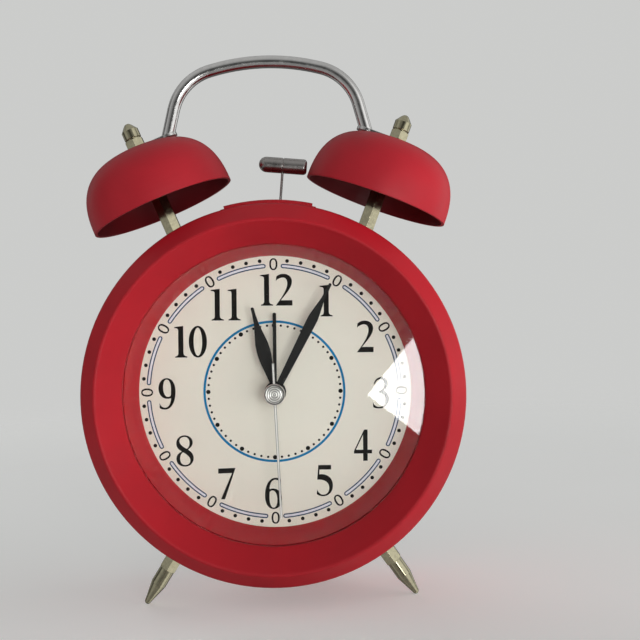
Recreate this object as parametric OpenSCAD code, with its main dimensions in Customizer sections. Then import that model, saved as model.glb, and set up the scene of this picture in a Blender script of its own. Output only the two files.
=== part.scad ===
// Twin bell alarm clock on two splayed feet and a rear foot
// Sizes in mm. The dial faces -Y, +X is to the viewer's right, +Z is up, the feet stand on Z = 0.
// Depths called "_a" count backward from the front ridge of the bezel.

/* [Case] */
// Outer radius of the front bezel
bezel_r = 58.5; // [55:0.5:62]
// Distance of the front ridge inside the bezel's outer edge
ridge_inset = 5.3; // [4.8:0.1:6]
// Width of the sloping funnel between ridge and lens
funnel_w = 7; // [6:0.25:8]
// Depth of the funnel from ridge to lens lip
funnel_depth = 7; // [6:0.25:8]
// Thickness of the lip that holds the lens
lip_t = 0.6; // [0.5:0.1:1]
// Length of the bezel skirt over the drum
skirt_len = 3.4; // [2.5:0.1:4]
// Wall thickness of the drum
case_wall = 2.2; // [1.8:0.1:2.6]
// Depth of the rear edge of the drum
case_depth = 44; // [43.5:0.5:48]
// Height of the hammer boss over the drum
boss_h = 3.7; // [3:0.1:4.2]
// Half angle of the hammer boss
boss_angle = 13.2; // [11:0.2:15]
// Thickness of the back cover
cover_t = 2; // [1.6:0.1:2.6]

/* [Dial] */
// Thickness of the lens
lens_t = 1.6; // [1.2:0.1:2]
// Thickness of the dial plate
dial_t = 1; // [0.8:0.1:1.4]
// Taper of the spacer ring from lens to dial
spacer_taper = 3; // [2:0.1:3.6]
// Free space between lens and the cap of the second hand
lens_gap = 1.1; // [0.8:0.1:2]

/* [Hands] */
// Thickness of each hand
hand_t = 0.5; // [0.4:0.05:0.7]
// Distance between neighbouring hands
hand_pitch = 1.8; // [1.6:0.1:2.2]
// Length of the hour hand
hour_len = 27.8; // [24:0.1:30]
// Greatest width of the hour hand
hour_w = 4.3; // [3.6:0.1:4.8]
// Length of the minute hand
minute_len = 38.5; // [34:0.1:39]
// Greatest width of the minute hand
minute_w = 3.2; // [2.6:0.1:3.8]
// Length of the alarm hand
alarm_len = 25.2; // [22:0.1:28]
// Width of the alarm hand
alarm_w = 1.1; // [0.9:0.1:1.6]
// Length of the second hand
second_len = 38.7; // [35:0.1:39.4]
// Length of the tail of the second hand
second_tail = 9.6; // [7:0.1:12]
// Radius of the cap on the second hand
cap_r = 3.3; // [2.6:0.1:3.6]
// Width of the rim round the turned face of the cap
cap_rim = 0.6; // [0.4:0.05:0.8]
// Number of rings turned into the face of the cap
cap_rings = 4; // [3:1:6]
// Clockwise angle of the hour hand from twelve
hour_angle = -13; // [-180:0.2:180]
// Clockwise angle of the minute hand from twelve
minute_angle = 28.8; // [-180:0.2:180]
// Clockwise angle of the second hand from twelve
second_angle = 178.8; // [-180:0.2:180]
// Clockwise angle of the alarm hand from twelve
alarm_angle = 1.4; // [-180:0.2:180]

/* [Bells] */
// Radius of a bell at its rim
bell_r = 23.5; // [22:0.1:24]
// Height of a bell from rim to crown
bell_h = 19.9; // [18.5:0.1:22]
// Sheet thickness of a bell
bell_t = 0.9; // [0.7:0.05:1.2]
// Radius of the flat crown of a bell
crown_r = 5; // [4:0.25:7]
// Roundness exponent of the bell shoulder
bell_power = 2.5; // [2:0.05:2.8]
// Half distance between the rim centres of the bells, as a share of the bezel radius
bell_share = 0.584; // [0.58:0.002:0.63]
// Height of the rim centres over the bezel edge
bell_rise = 1.5; // [0.8:0.1:3]
// Outward tilt of the bell posts
post_tilt = 21.8; // [19.5:0.1:23]
// Width across flats of the bell posts
post_af = 5; // [4.5:0.1:5.5]
// Radius of the threaded studs
stud_r = 1.5; // [1.3:0.05:1.7]

/* [Finials] */
// Width across flats of a finial
finial_af = 5.5; // [5:0.1:6.2]
// Height of the hexagon of a finial
finial_hex_h = 3; // [2.4:0.1:4]
// Height of the round collar of a finial
finial_collar_h = 3; // [2.2:0.1:3.6]
// Height of the pointed top of a finial
finial_cone_h = 2.2; // [1.6:0.1:3.2]

/* [Handle] */
// Radius of the handle rod
rod_r = 2; // [1.6:0.05:2.2]
// Thickness of the flattened handle ends
tab_t = 1; // [0.8:0.05:1.3]
// Distance from the post to the handle leg
tab_reach = 10.5; // [9.5:0.1:11.5]
// Inward lean of the handle legs
leg_lean = 14.3; // [12:0.1:17]
// Straight length of the handle legs
leg_len = 8.9; // [5:0.1:14]
// Bend radius of the upper handle corners
corner_bend = 16.75; // [13:0.25:19]
// Slope of the top bow where it meets the corner
bow_angle = 15.6; // [13:0.2:18]

/* [Feet] */
// Angle of the feet from straight down
foot_angle = 33.4; // [30:0.2:37]
// Length of a foot from its seat to its tip
foot_len = 18.6; // [16:0.1:22]
// Width across flats of the feet
foot_af = 5; // [4.6:0.1:5.6]
// Length of the hexagon of a foot
foot_hex_h = 5.8; // [5:0.1:7]
// Length of the round part of a foot
foot_round_h = 5.4; // [4:0.1:6]
// Radius of the blunt foot tip
foot_tip_r = 1; // [0.8:0.05:1.5]
// Width of the rear foot
rear_foot_w = 18; // [14:0.5:24]
// Thickness of the rubber pad under the rear foot
pad_t = 1.2; // [1:0.1:2]

/* [Hammer] */
// Height of the hammer pivot over the dial centre
pivot_w = 28; // [27:0.25:30]
// Height of the hammer head over the bezel edge
head_rise = 14.2; // [13.5:0.1:16.5]
// Length of the hammer head
head_len = 15.5; // [14:0.1:16]
// Radius of the hammer head
head_r = 2.5; // [2.2:0.05:2.8]
// Radius of the hammer wire
wire_r = 0.4; // [0.3:0.05:0.6]
// Allowance between the resting hammer head and the line of the bell wall
strike_gap = 1.1; // [1:0.05:1.6]
// Thickness of the hammer lever
lever_t = 1.6; // [1.2:0.1:2]

/* [Movement] */
// Width of the movement
move_w = 56; // [55:0.5:60]
// Top of the movement over the dial centre
move_top = 18.5; // [18:0.25:19]
// Bottom of the movement under the dial centre
move_bottom = 15.6; // [15.4:0.1:16]
// Thickness of the movement plate
plate_t = 1.5; // [1.2:0.1:1.8]
// Thickness of the train plate
train_t = 1; // [0.8:0.1:1.3]
// Distance between neighbouring gear layers
layer_pitch = 1.6; // [1.5:0.05:1.8]
// Thickness of a wheel
wheel_t = 0.8; // [0.6:0.05:0.9]
// Thickness of a pinion
pinion_t = 1.2; // [1:0.05:1.3]
// Distance from the centre to the time stem
time_reach = 11; // [10.8:0.1:11.6]
// Direction of the time stem
time_dir = -25; // [-30:1:-20]
// Distance from the centre to the alarm stem
alarm_reach = 13; // [12.6:0.1:14]
// Direction of the alarm stem
alarm_dir = 205; // [200:1:212]
// Distance from the centre to the third and step wheel arbors
train_reach = 9; // [8.9:0.05:9.3]
// Direction of the third wheel arbor
third_dir = 60; // [55:1:65]
// Direction of the step wheel arbor
step_dir = 150; // [147:1:153]
// Distance from the step wheel arbor to the rotor
rotor_reach = 6.16; // [6:0.02:6.4]
// Radius of the two setting stems
stem_r = 1.25; // [1:0.05:1.4]
// Radius of the setting knobs
knob_r = 6.5; // [5.5:0.1:7.5]
// Length of the setting knobs
knob_len = 9.4; // [7:0.1:11]

/* [Battery] */
// Radius of the battery cell
cell_r = 7.25; // [7.2:0.05:7.3]
// Length of the battery cell
cell_len = 50.5; // [50:0.1:50.8]
// Wall thickness of the battery tray
tray_wall = 1.2; // [1:0.1:1.4]

/* [Fits] */
// Radial clearance of turning parts
run_gap = 0.05; // [0.03:0.01:0.08]
// Clearance of parts that are put together by hand
slip_gap = 0.1; // [0.05:0.01:0.15]
// Free space between parts that pass each other
pass_gap = 0.4; // [0.3:0.05:0.5]

/* [Hidden] */
$fn = 64;
tiny = 0.01;

// Stack from the bezel to the back, as depths
ridge_r = bezel_r - ridge_inset;
opening_r = ridge_r - funnel_w;
drum_r = bezel_r - 2;
drum_in = drum_r - case_wall;
lens_r = opening_r + 1.8;
sleeve_r = lens_r + slip_gap;
sleeve_wall = 1.5;
seat_a = funnel_depth + lip_t;
skirt_a = seat_a + skirt_len;
lens_back = seat_a + lens_t;
cap_t = 1.2;
second_hub_r = 2.2;
minute_hub_r = 2.9;
hour_hub_r = 3.2;
alarm_hub_r = 3.4;
cap_a = lens_back + lens_gap;
second_a = cap_a + cap_t;
minute_a = second_a + hand_t + 0.8;
hour_a = minute_a + hand_pitch;
alarm_a = hour_a + hand_pitch;
dial_a = alarm_a + hand_t + 2.6;
dial_back = dial_a + dial_t;
flange_back = dial_back + plate_t;
plate_back = flange_back;
rear_a = case_depth + cover_t;
knob_a = rear_a + 0.6;
total_depth = knob_a + knob_len;
mid_a = total_depth / 2;

// Feet and the height of the dial centre
foot_a = seat_a + 7.4;
foot_seat_r = drum_r + 2.5;
foot_tip_at = foot_seat_r + foot_len - foot_tip_r;
axis_z = foot_tip_at * cos(foot_angle) + foot_tip_r;
foot_r = foot_af / 2 - 0.1;

// Bell posts, measured along the post from the rim centre of the bell
post_a = flange_back + 3.4;
bell_x = bell_share * bezel_r;
bell_w = bezel_r + bell_rise;
post_run = bell_x * sin(post_tilt) + bell_w * cos(post_tilt);
post_off = bell_x * cos(post_tilt) - bell_w * sin(post_tilt);
post_seat_r = drum_r + 1.1;
post_seat_t = sqrt(post_seat_r * post_seat_r - post_off * post_off) - post_run;
post_boss_h = 7;
post_inner_t = post_seat_t - post_boss_h;
post_top_t = bell_h - bell_t;
stud_top_t = bell_h + tab_t + finial_hex_h + 1.5;
finial_t = bell_h + tab_t;
nut_af = 5.5;
nut_h = 2.4;

// Handle centre line: leg from the middle of the tab, corner and bow
crown_x = bell_x + bell_h * sin(post_tilt);
crown_w = bell_w + bell_h * cos(post_tilt);
leg_head = 90 + leg_lean;
bow_head = 180 - bow_angle;
leg_x = crown_x - tab_reach * cos(post_tilt) + tab_t / 2 * sin(post_tilt);
leg_w = crown_w + tab_reach * sin(post_tilt) + tab_t / 2 * cos(post_tilt);
leg_top_x = leg_x + leg_len * cos(leg_head);
leg_top_w = leg_w + leg_len * sin(leg_head);
corner_x = leg_top_x - corner_bend * sin(leg_head);
corner_w = leg_top_w + corner_bend * cos(leg_head);
bow_x = corner_x + corner_bend * sin(bow_head);
bow_w = corner_w - corner_bend * cos(bow_head);
bow_r = bow_x / sin(bow_angle);
bow_centre_w = bow_w - bow_r * cos(bow_angle);

// Length of the hammer, and the lean that leaves the strike gap to the right bell
hammer_len = bezel_r + head_rise - pivot_w;
rim_x = bell_x - bell_r * cos(post_tilt);
rim_w = bell_w + bell_r * sin(post_tilt);
strike_run = rim_x - head_len / 2 - strike_gap + (pivot_w + hammer_len - rim_w) * tan(post_tilt);
strike_arm = hammer_len + head_len / 2 * tan(post_tilt);
hammer_lean = atan(strike_run / strike_arm);
lever_len = 20;
lever_w = 4;
lever_hub_r = 3.4;
lever_hole_r = 1 + run_gap;
magnet_t = 2.4;
magnet_half = 3;
magnet_w = 12;
bracket_a = post_a + lever_t / 2 + magnet_t + 0.3;
bracket_t = 1.5;
bracket_back = bracket_a + bracket_t;
swing = magnet_w * sin(hammer_lean + 2.2);
pole_x = magnet_half + swing + pass_gap;
pole_t = 1.6;
bell_coil_d = 8.4;
bracket_hole_at = drum_in - 2.3;
bracket_dir = 22;

// Gear layers, as depths of the middle of each wheel
alarm_layer = plate_back + 0.4 + wheel_t / 2;
hour_layer = alarm_layer + layer_pitch;
motion_layer = hour_layer + layer_pitch;
train_a = motion_layer + pinion_t / 2 + 0.4;
train_back = train_a + train_t;
centre_layer = train_back + 0.4 + pinion_t / 2;
third_layer = centre_layer + layer_pitch;
second_layer = third_layer + layer_pitch;
step_layer = second_layer + layer_pitch;
cover_in = step_layer + pinion_t / 2 + 0.4;
cover_wall = 1.2;
cover_back = cover_in + cover_wall;

// Tooth counts of each meshing pair, wheel first
alarm_teeth = [40, 20];
hour_teeth = [40, 10];
motion_teeth = [36, 12];
centre_teeth = [64, 8];
third_teeth = [60, 8];
second_teeth = [50, 10];
step_teeth = [48, 8];

// Arbor places seen from the front, right and up from the dial centre
time_at = time_reach * [cos(time_dir), sin(time_dir)];
alarm_at = alarm_reach * [cos(alarm_dir), sin(alarm_dir)];
third_at = train_reach * [cos(third_dir), sin(third_dir)];
step_at = train_reach * [cos(step_dir), sin(step_dir)];
rotor_at = step_at + rotor_reach * [cos(step_dir), sin(step_dir)];

// Coaxial arbor and tubes, each radius from the one inside it
arbor_r = 0.5;
minute_in = arbor_r + run_gap;
minute_out = minute_in + 0.5;
hour_in = minute_out + run_gap;
hour_out = hour_in + 0.5;
alarm_in = hour_out + run_gap;
alarm_out = alarm_in + 0.6;
bush_in = alarm_out + run_gap;
bush_out = bush_in + 1;

// Movement box and its screw columns
move_x = move_w / 2;
box_wall = 1.2;
column_r = 2.4;
column_x = move_x - box_wall - column_r - 0.1;
column_top = move_top - box_wall - column_r - 0.1;
column_low = -move_bottom + box_wall + column_r + 0.1;
columns = [
    [column_x, column_top], [-column_x, column_top], [column_x, column_low], [-column_x, column_low]
];
screw_r = 1;
cover_screw_len = 9;
bracket_screw_len = 5.5;

// Stepper parts beside the rotor
coil_r = 2.6;
core_x = -move_x + box_wall + coil_r + 1.7;
core_top = 10.2;
core_low = -3.2;
core_t = 1;
stepper_a = train_back;
stator_half = 3.6;

// Circuit board at the other end of the movement
board_w = 11.5;
board_h = 18;
board_x = move_x - box_wall - 0.8 - board_w;
board_low = -8;
crystal_len = 6;

// Battery tray under the movement
tray_x = cell_len / 2 + 2.9;
tray_half = cell_r + 0.45;
tray_w = -move_bottom - 0.9 - tray_wall - tray_half;
cell_a = case_depth - cell_r - 0.35;
tray_a = cell_a - 6.4;
cell_end = tray_x - 0.5;
door_margin = 1.4;

// Alarm switch on the back cover
switch_x = 23;
switch_w = 26;
switch_travel = 4;

// Cover screws in columns inside the drum
cover_column_r = 3;
cover_column_at = drum_in - 2.2;
cover_dirs = [32, 148, 212, 328];

red = "#b0202a";
dark = "#26262a";
steel = "#b9bbbd";
brass = "#c9a04e";

// Places

// Children drawn to the right and up fill the depth from a to a + h
module slab(a, h) {
    translate([0, a + h - mid_a, axis_z])
        rotate([90, 0, 0])
            linear_extrude(h)
                children();
}

// Ring turned about the dial axis from points of radius and depth
module turned(points) {
    translate([0, -mid_a, axis_z])
        rotate([-90, 0, 0])
            rotate_extrude($fn = 128)
                polygon(points);
}

// Part of a ring round the top, up to the half angle on each side
module top_arc(half, points) {
    translate([0, -mid_a, axis_z])
        rotate([-90, 0, 0])
            rotate([0, 0, -90 - half])
                rotate_extrude(angle = 2 * half, $fn = 128)
                    polygon(points);
}

// Round bar along the depth at a place seen from the front
module bar(at, a, h, r) {
    translate([at[0], a - mid_a, axis_z + at[1]])
        rotate([-90, 0, 0])
            cylinder(h = h, r = r);
}

// Tube along the depth
module tube(at, a, h, r_out, r_in) {
    difference() {
        bar(at, a, h, r_out);
        bar(at, a - 1, h + 2, r_in);
    }
}

// Frame of a bell post, up the post from the rim centre
module on_post(side, t) {
    translate([side * bell_x, post_a - mid_a, axis_z + bell_w])
        rotate([0, side * post_tilt, 0])
            translate([0, 0, t])
                children();
}

// Frame of a foot, outward from its seat
module on_foot(side, out) {
    translate([0, foot_a - mid_a, axis_z])
        rotate([0, 180 - side * foot_angle, 0])
            translate([0, 0, foot_seat_r + out])
                children();
}

// Frame of the hammer, up the wire from the pivot
module on_hammer() {
    translate([0, post_a - mid_a, axis_z + pivot_w])
        rotate([0, hammer_lean, 0])
            children();
}

// Frame round the dial axis, upward at a clockwise angle
module on_dial(angle, a) {
    translate([0, a - mid_a, axis_z])
        rotate([0, angle, 0])
            children();
}

// Straight hexagon bar with one corner to the front
module hex_bar(af, h) {
    rotate([0, 0, 30])
        cylinder(h = h, r = af / 2 / cos(30), $fn = 6);
}

// Hexagon bar with both ends turned to a bevel
module bevelled_hex(af, h) {
    corner = af / 2 / cos(30);
    cut = corner - af / 2 + 0.1;
    intersection() {
        hex_bar(af, h);
        rotate_extrude()
            polygon([
                [0, 0], [corner - cut, 0], [corner, cut * 0.6],
                [corner, h - cut * 0.6], [corner - cut, h], [0, h]
            ]);
    }
}

// Gears

function inv(angle) = tan(angle) * 180 / PI - angle;

// Half angle of a tooth at radius r, thinned for play
function tooth_half(z, pitch_r, r) =
    let (base_r = pitch_r * cos(20), at_r = max(r, base_r))
    72 / z + inv(20) - inv(acos(min(1, base_r / at_r)));

// Module of a pair from its centre distance and tooth counts
function gear_module(reach, teeth) = 2 * reach / (teeth[0] + teeth[1]);

// Turn of the second gear so that its gap meets a tooth of the first, which points to zero
function mesh_turn(dir, z_first, z_second) =
    dir + 180 - 360 / z_second * (0.5 - dir * z_first / 360);

function gear_points(z, m) =
    let (pitch_r = m * z / 2)
    let (radii = [pitch_r - 1.05 * m, pitch_r - 0.2 * m, pitch_r + 0.35 * m, pitch_r + 0.75 * m])
    [
        for (i = [0 : z - 1])
            for (s = [-1, 1])
                for (k = [0 : 3])
                    let (r = radii[s < 0 ? k : 3 - k], half = tooth_half(z, pitch_r, r))
                    r * [cos(360 * i / z + s * half), sin(360 * i / z + s * half)]
    ];

// Flat gear in a layer, with a bore
module gear(at, layer, h, z, m, turn, bore) {
    slab(layer - h / 2, h)
        translate(at)
            rotate(turn)
                difference() {
                    polygon(gear_points(z, m));
                    circle(bore);
                }
}

// Case

module front_bezel() {
    ridge_round = 0.7;
    edge = 1.6;
    edge_a = 5.6;
    color(red)
        turned(concat(
            [[opening_r, seat_a], [opening_r, funnel_depth]],
            [
                for (t = [210 : 10 : 310])
                    [ridge_r + ridge_round * cos(t), ridge_round + ridge_round * sin(t)]
            ],
            [for (t = [-50 : 10 : 0]) [bezel_r - edge + edge * cos(t), edge_a + edge * sin(t)]],
            [
                [bezel_r, skirt_a - 0.4], [bezel_r - 0.4, skirt_a],
                [drum_r + slip_gap, skirt_a], [drum_r + slip_gap, seat_a],
                [drum_in, seat_a], [drum_in - 0.4, 4.4], [drum_in - 1.6, 3.6],
                [sleeve_r + sleeve_wall, 4.8], [sleeve_r + sleeve_wall, seat_a]
            ]
        ));
}

module lens() {
    color("#dfe8ea", 0.35)
        turned([[0, seat_a], [lens_r, seat_a], [lens_r, lens_back], [0, lens_back]]);
}

module spacer_ring() {
    color(red)
        turned([
            [opening_r, lens_back], [lens_r, lens_back], [lens_r, dial_a],
            [opening_r - spacer_taper, dial_a]
        ]);
}

module dial() {
    color("#d6d0c2") {
        turned([
            [bush_out + slip_gap, dial_a], [lens_r, dial_a],
            [lens_r, dial_back], [bush_out + slip_gap, dial_back]
        ]);
        for (side = [-1, 1])
            bar([side * (move_x - 9), 0], dial_back - tiny, plate_t + tiny, 1);
    }
}

// Drum wall with the sleeve that holds lens, spacer and dial
module drum() {
    web_a = dial_back - 2;
    outer_sleeve = sleeve_r + sleeve_wall;
    turned([
        [drum_r, seat_a], [drum_r, case_depth], [drum_in, case_depth], [drum_in, flange_back],
        [lens_r - 2, flange_back], [lens_r - 2, dial_back], [sleeve_r, dial_back], [sleeve_r, seat_a],
        [outer_sleeve, seat_a], [outer_sleeve, web_a], [drum_in, web_a], [drum_in, seat_a]
    ]);
}

// Raised boss on top of the drum with a lower step at each end
module hammer_boss() {
    back = post_a + 11;
    inner = drum_r - 1;
    top_arc(boss_angle + 1.2, [
        [inner, skirt_a + 0.2], [drum_r + boss_h - 0.9, skirt_a + 0.2],
        [drum_r + boss_h - 0.9, back], [inner, back]
    ]);
    top_arc(boss_angle, [
        [inner, skirt_a + 0.2], [drum_r + boss_h - 0.5, skirt_a + 0.2], [drum_r + boss_h, skirt_a + 0.7],
        [drum_r + boss_h, back - 1.5], [drum_r + boss_h - 0.5, back - 1], [inner, back - 1]
    ]);
}

module case_shell() {
    foot_boss_r = foot_af / 2 + 1.2;
    post_boss_r = post_af / 2 + 2;
    slot_half = (drum_r + boss_h - pivot_w) * tan(hammer_lean + 1.5) + wire_r + 1;
    color(red)
        difference() {
            union() {
                drum();
                hammer_boss();
                for (side = [-1, 1]) {
                    on_post(side, post_inner_t)
                        cylinder(h = post_boss_h, r = post_boss_r);
                    on_foot(side, sleeve_r + 0.8 - foot_seat_r)
                        cylinder(h = foot_seat_r - sleeve_r - 0.8, r = foot_boss_r);
                }
                for (dir = cover_dirs)
                    bar(cover_column_at * [cos(dir), sin(dir)], flange_back - 0.5,
                        case_depth - flange_back + 0.5, cover_column_r);
                for (side = [-1, 1])
                    bar(bracket_hole_at * [side * sin(bracket_dir), cos(bracket_dir)], flange_back - 0.5,
                        bracket_a - flange_back + 0.5, 3);
            }
            for (side = [-1, 1]) {
                on_post(side, post_inner_t - 4)
                    cylinder(h = post_boss_h + 8, r = stud_r + slip_gap);
                on_foot(side, -6.2)
                    cylinder(h = 7, r = stud_r + slip_gap);
            }
            for (dir = cover_dirs)
                bar(cover_column_at * [cos(dir), sin(dir)], case_depth - 9, 10, screw_r + slip_gap);
            for (side = [-1, 1])
                bar(bracket_hole_at * [side * sin(bracket_dir), cos(bracket_dir)], bracket_a - 5, 6,
                    screw_r + slip_gap);
            translate([-slot_half, post_a - mid_a - 1.8, axis_z + drum_in - 6])
                cube([2 * slot_half, 3.6, boss_h + case_wall + 12]);
        }
}

module back_cover() {
    open_x = tray_x + tray_wall + door_margin;
    open_half = tray_half + tray_wall + door_margin;
    color(dark)
        difference() {
            union() {
                turned([
                    [0, case_depth], [drum_r, case_depth], [drum_r, rear_a - 0.8],
                    [drum_r - 0.8, rear_a], [0, rear_a]
                ]);
                tray();
                rear_foot();
            }
            slab(case_depth + 0.8, cover_t)
                translate([-open_x, tray_w - open_half])
                    square([2 * open_x, 2 * open_half]);
            slab(case_depth - 1, cover_t + 2)
                translate([-tray_x, tray_w - tray_half])
                    square([2 * tray_x, 2 * tray_half]);
            bar(time_at, case_depth - 1, cover_t + 2, stem_r + pass_gap);
            bar(alarm_at, case_depth - 1, cover_t + 2, stem_r + pass_gap);
            slab(case_depth - 1, cover_t + 2)
                translate([switch_x - 1.6, switch_w - 1.5])
                    square([switch_travel + 3.2, 3]);
            for (dir = cover_dirs) {
                bar(cover_column_at * [cos(dir), sin(dir)], case_depth - 1, cover_t + 2,
                    screw_r + slip_gap);
                bar(cover_column_at * [cos(dir), sin(dir)], rear_a - 1, 2, 2.2);
            }
        }
}

// Open box on the inside of the back cover that takes the battery cell
module tray() {
    floor_a = tray_a - tray_wall;
    difference() {
        slab(floor_a, case_depth - floor_a + 0.5)
            translate([-tray_x - tray_wall, tray_w - tray_half - tray_wall])
                square([2 * (tray_x + tray_wall), 2 * (tray_half + tray_wall)]);
        slab(tray_a, case_depth - tray_a + 1)
            translate([-tray_x, tray_w - tray_half])
                square([2 * tray_x, 2 * tray_half]);
        slab(floor_a - 1, tray_wall + 2)
            translate([-tray_x + 0.4, tray_w - tray_half + 3.7])
                square([2 * tray_x - 0.8, 2 * tray_half - 7.4]);
    }
}

// Sloping lug under the back cover
module rear_foot() {
    translate([-rear_foot_w / 2, 0, 0])
        rotate([90, 0, 90])
            linear_extrude(rear_foot_w)
                polygon([
                    [case_depth - mid_a, axis_z - drum_r + 12], [case_depth - mid_a, axis_z - drum_r + 1],
                    [case_depth + 1 - mid_a, pad_t], [total_depth - 1.5 - mid_a, pad_t],
                    [rear_a - tiny - mid_a, axis_z - drum_r + 12]
                ]);
}

module rear_pad() {
    color("#18181a")
        translate([-rear_foot_w / 2 + 1, case_depth + 1.5 - mid_a, 0])
            cube([rear_foot_w - 2, total_depth - case_depth - 3.5, pad_t]);
}

module cover_screws() {
    color(steel)
        for (dir = cover_dirs)
            screw(cover_column_at * [cos(dir), sin(dir)], rear_a - 1, 2, cover_screw_len);
}

// Round head screw driven from the back, with a slot in its head
module screw(at, seat, head_r, h) {
    difference() {
        union() {
            bar(at, seat - h + 1, h - 1 + tiny, screw_r);
            bar(at, seat, 0.9, head_r);
        }
        translate([at[0] - head_r, seat + 0.5 - mid_a, axis_z + at[1] - 0.25])
            cube([2 * head_r, 1, 0.5]);
    }
}

// Bells

function shoulder(h, r, u) =
    [crown_r + (r - crown_r) * u, h * pow(1 - pow(u, bell_power), 1 / bell_power)];

// Bell wall from rim to crown, with a hole for the stud
module bell(side) {
    steps = 26;
    hole = stud_r + slip_gap;
    color(red)
        on_post(side, 0)
            rotate_extrude($fn = 128)
                polygon(concat(
                    [for (k = [0 : steps]) shoulder(bell_h, bell_r, cos(90 * k / steps))],
                    [[hole, bell_h], [hole, bell_h - bell_t]],
                    [
                        for (k = [steps : -1 : 0])
                            shoulder(bell_h - bell_t, bell_r - bell_t, cos(90 * k / steps))
                    ]
                ));
}

module left_bell() {
    bell(-1);
}

module right_bell() {
    bell(1);
}

// Hexagon post with a stud at each end
module post(side) {
    color(steel)
        on_post(side, 0) {
            translate([0, 0, post_seat_t])
                bevelled_hex(post_af, post_top_t - post_seat_t);
            translate([0, 0, post_inner_t - nut_h - 0.6])
                cylinder(h = post_boss_h + nut_h + 0.6 + tiny, r = stud_r);
            translate([0, 0, post_top_t - tiny])
                cylinder(h = stud_top_t - post_top_t + tiny, r = stud_r);
        }
}

module left_post() {
    post(-1);
}

module right_post() {
    post(1);
}

module post_nuts() {
    color(steel)
        for (side = [-1, 1])
            on_post(side, post_inner_t - nut_h)
                difference() {
                    bevelled_hex(nut_af, nut_h);
                    translate([0, 0, -1])
                        cylinder(h = nut_h + 2, r = stud_r + slip_gap);
                }
}

// Hexagon nut that ends in a grooved collar and a blunt point
module finial(side) {
    collar_r = finial_af / 2;
    base = finial_hex_h + 0.3;
    shoulder_h = base + finial_collar_h;
    tip_h = shoulder_h + finial_cone_h;
    color(steel)
        on_post(side, finial_t)
            difference() {
                union() {
                    bevelled_hex(finial_af, finial_hex_h);
                    rotate_extrude()
                        polygon([
                            [0, finial_hex_h - 0.5], [collar_r - 0.45, finial_hex_h - 0.5],
                            [collar_r - 0.45, base], [collar_r - 0.15, base], [collar_r, base + 0.15],
                            [collar_r, shoulder_h - 0.2], [collar_r - 0.2, shoulder_h],
                            [1.2, tip_h - 0.5], [0.7, tip_h - 0.1], [0.4, tip_h], [0, tip_h]
                        ]);
                }
                translate([0, 0, -1])
                    cylinder(h = stud_top_t - finial_t + 1.3, r = stud_r + slip_gap);
            }
}

module left_finial() {
    finial(-1);
}

module right_finial() {
    finial(1);
}

// Handle

// Bent piece of the handle rod about a bend centre
module rod_bend(x, w, r, from, to) {
    translate([x, post_a - mid_a, axis_z + w])
        rotate([90, 0, 0])
            rotate([0, 0, from])
                rotate_extrude(angle = to - from, $fn = 96)
                    translate([r, 0])
                        circle(rod_r, $fn = 32);
}

// Small bead that joins two pieces of the rod
module rod_bead(x, w) {
    translate([x, post_a - mid_a, axis_z + w])
        sphere(rod_r + 0.02, $fn = 32);
}

// Flattened end with the stud hole
module handle_tab() {
    difference() {
        union() {
            translate([-tab_reach, -rod_r - 0.9, 0])
                cube([tab_reach, 2 * rod_r + 1.8, tab_t]);
            cylinder(h = tab_t, r = rod_r + 1.6);
            translate([-tab_reach, 0, 0])
                cylinder(h = tab_t, r = rod_r + 1.1);
        }
        translate([0, 0, -1])
            cylinder(h = tab_t + 2, r = stud_r + slip_gap);
    }
}

// Straight leg that rises from the tab and ends level with its underside
module handle_leg() {
    intersection() {
        translate([-tab_reach, 0, tab_t / 2])
            rotate([0, -leg_lean - post_tilt, 0])
                translate([0, 0, -2 * rod_r])
                    cylinder(h = leg_len + 2 * rod_r, r = rod_r, $fn = 32);
        translate([-tab_reach - leg_len - rod_r, -rod_r - 1, 0])
            cube([leg_len + 4 * rod_r, 2 * rod_r + 2, leg_len + 2 * rod_r]);
    }
}

// One side of the handle: tab, leg and upper corner
module handle_side() {
    on_post(1, bell_h) {
        handle_tab();
        handle_leg();
    }
    rod_bead(leg_top_x, leg_top_w);
    rod_bend(corner_x, corner_w, corner_bend, leg_head - 90, bow_head - 90);
    rod_bead(bow_x, bow_w);
}

module handle() {
    color("#d4d6d8") {
        handle_side();
        mirror([1, 0, 0])
            handle_side();
        rod_bend(0, bow_centre_w, bow_r, 90 - bow_angle, 90 + bow_angle);
    }
}

// Feet

// Stud, hexagon, round shank and blunt cone
module foot(side) {
    round_at = foot_hex_h + foot_round_h;
    tip_at = foot_len - foot_tip_r;
    color(steel)
        on_foot(side, 0) {
            translate([0, 0, -6])
                cylinder(h = 6 + tiny, r = stud_r);
            bevelled_hex(foot_af, foot_hex_h);
            translate([0, 0, foot_hex_h - 0.4])
                cylinder(h = foot_round_h + 0.4, r = foot_r);
            translate([0, 0, round_at])
                cylinder(h = tip_at - round_at, r1 = foot_r, r2 = foot_tip_r);
            translate([0, 0, tip_at])
                sphere(foot_tip_r);
        }
}

module left_foot() {
    foot(-1);
}

module right_foot() {
    foot(1);
}

// Hands

// Flat hand pointing up, from its width at each distance, with its hub and bore
module hand(angle, a, hub_r, bore, widths) {
    right = [for (p = widths) [p[1] / 2, p[0]]];
    left = [for (k = [len(widths) - 1 : -1 : 0]) [-widths[k][1] / 2, widths[k][0]]];
    on_dial(angle, a + hand_t)
        rotate([90, 0, 0])
            linear_extrude(hand_t)
                difference() {
                    union() {
                        polygon(concat(right, left));
                        circle(hub_r);
                    }
                    circle(bore);
                }
}

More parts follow.
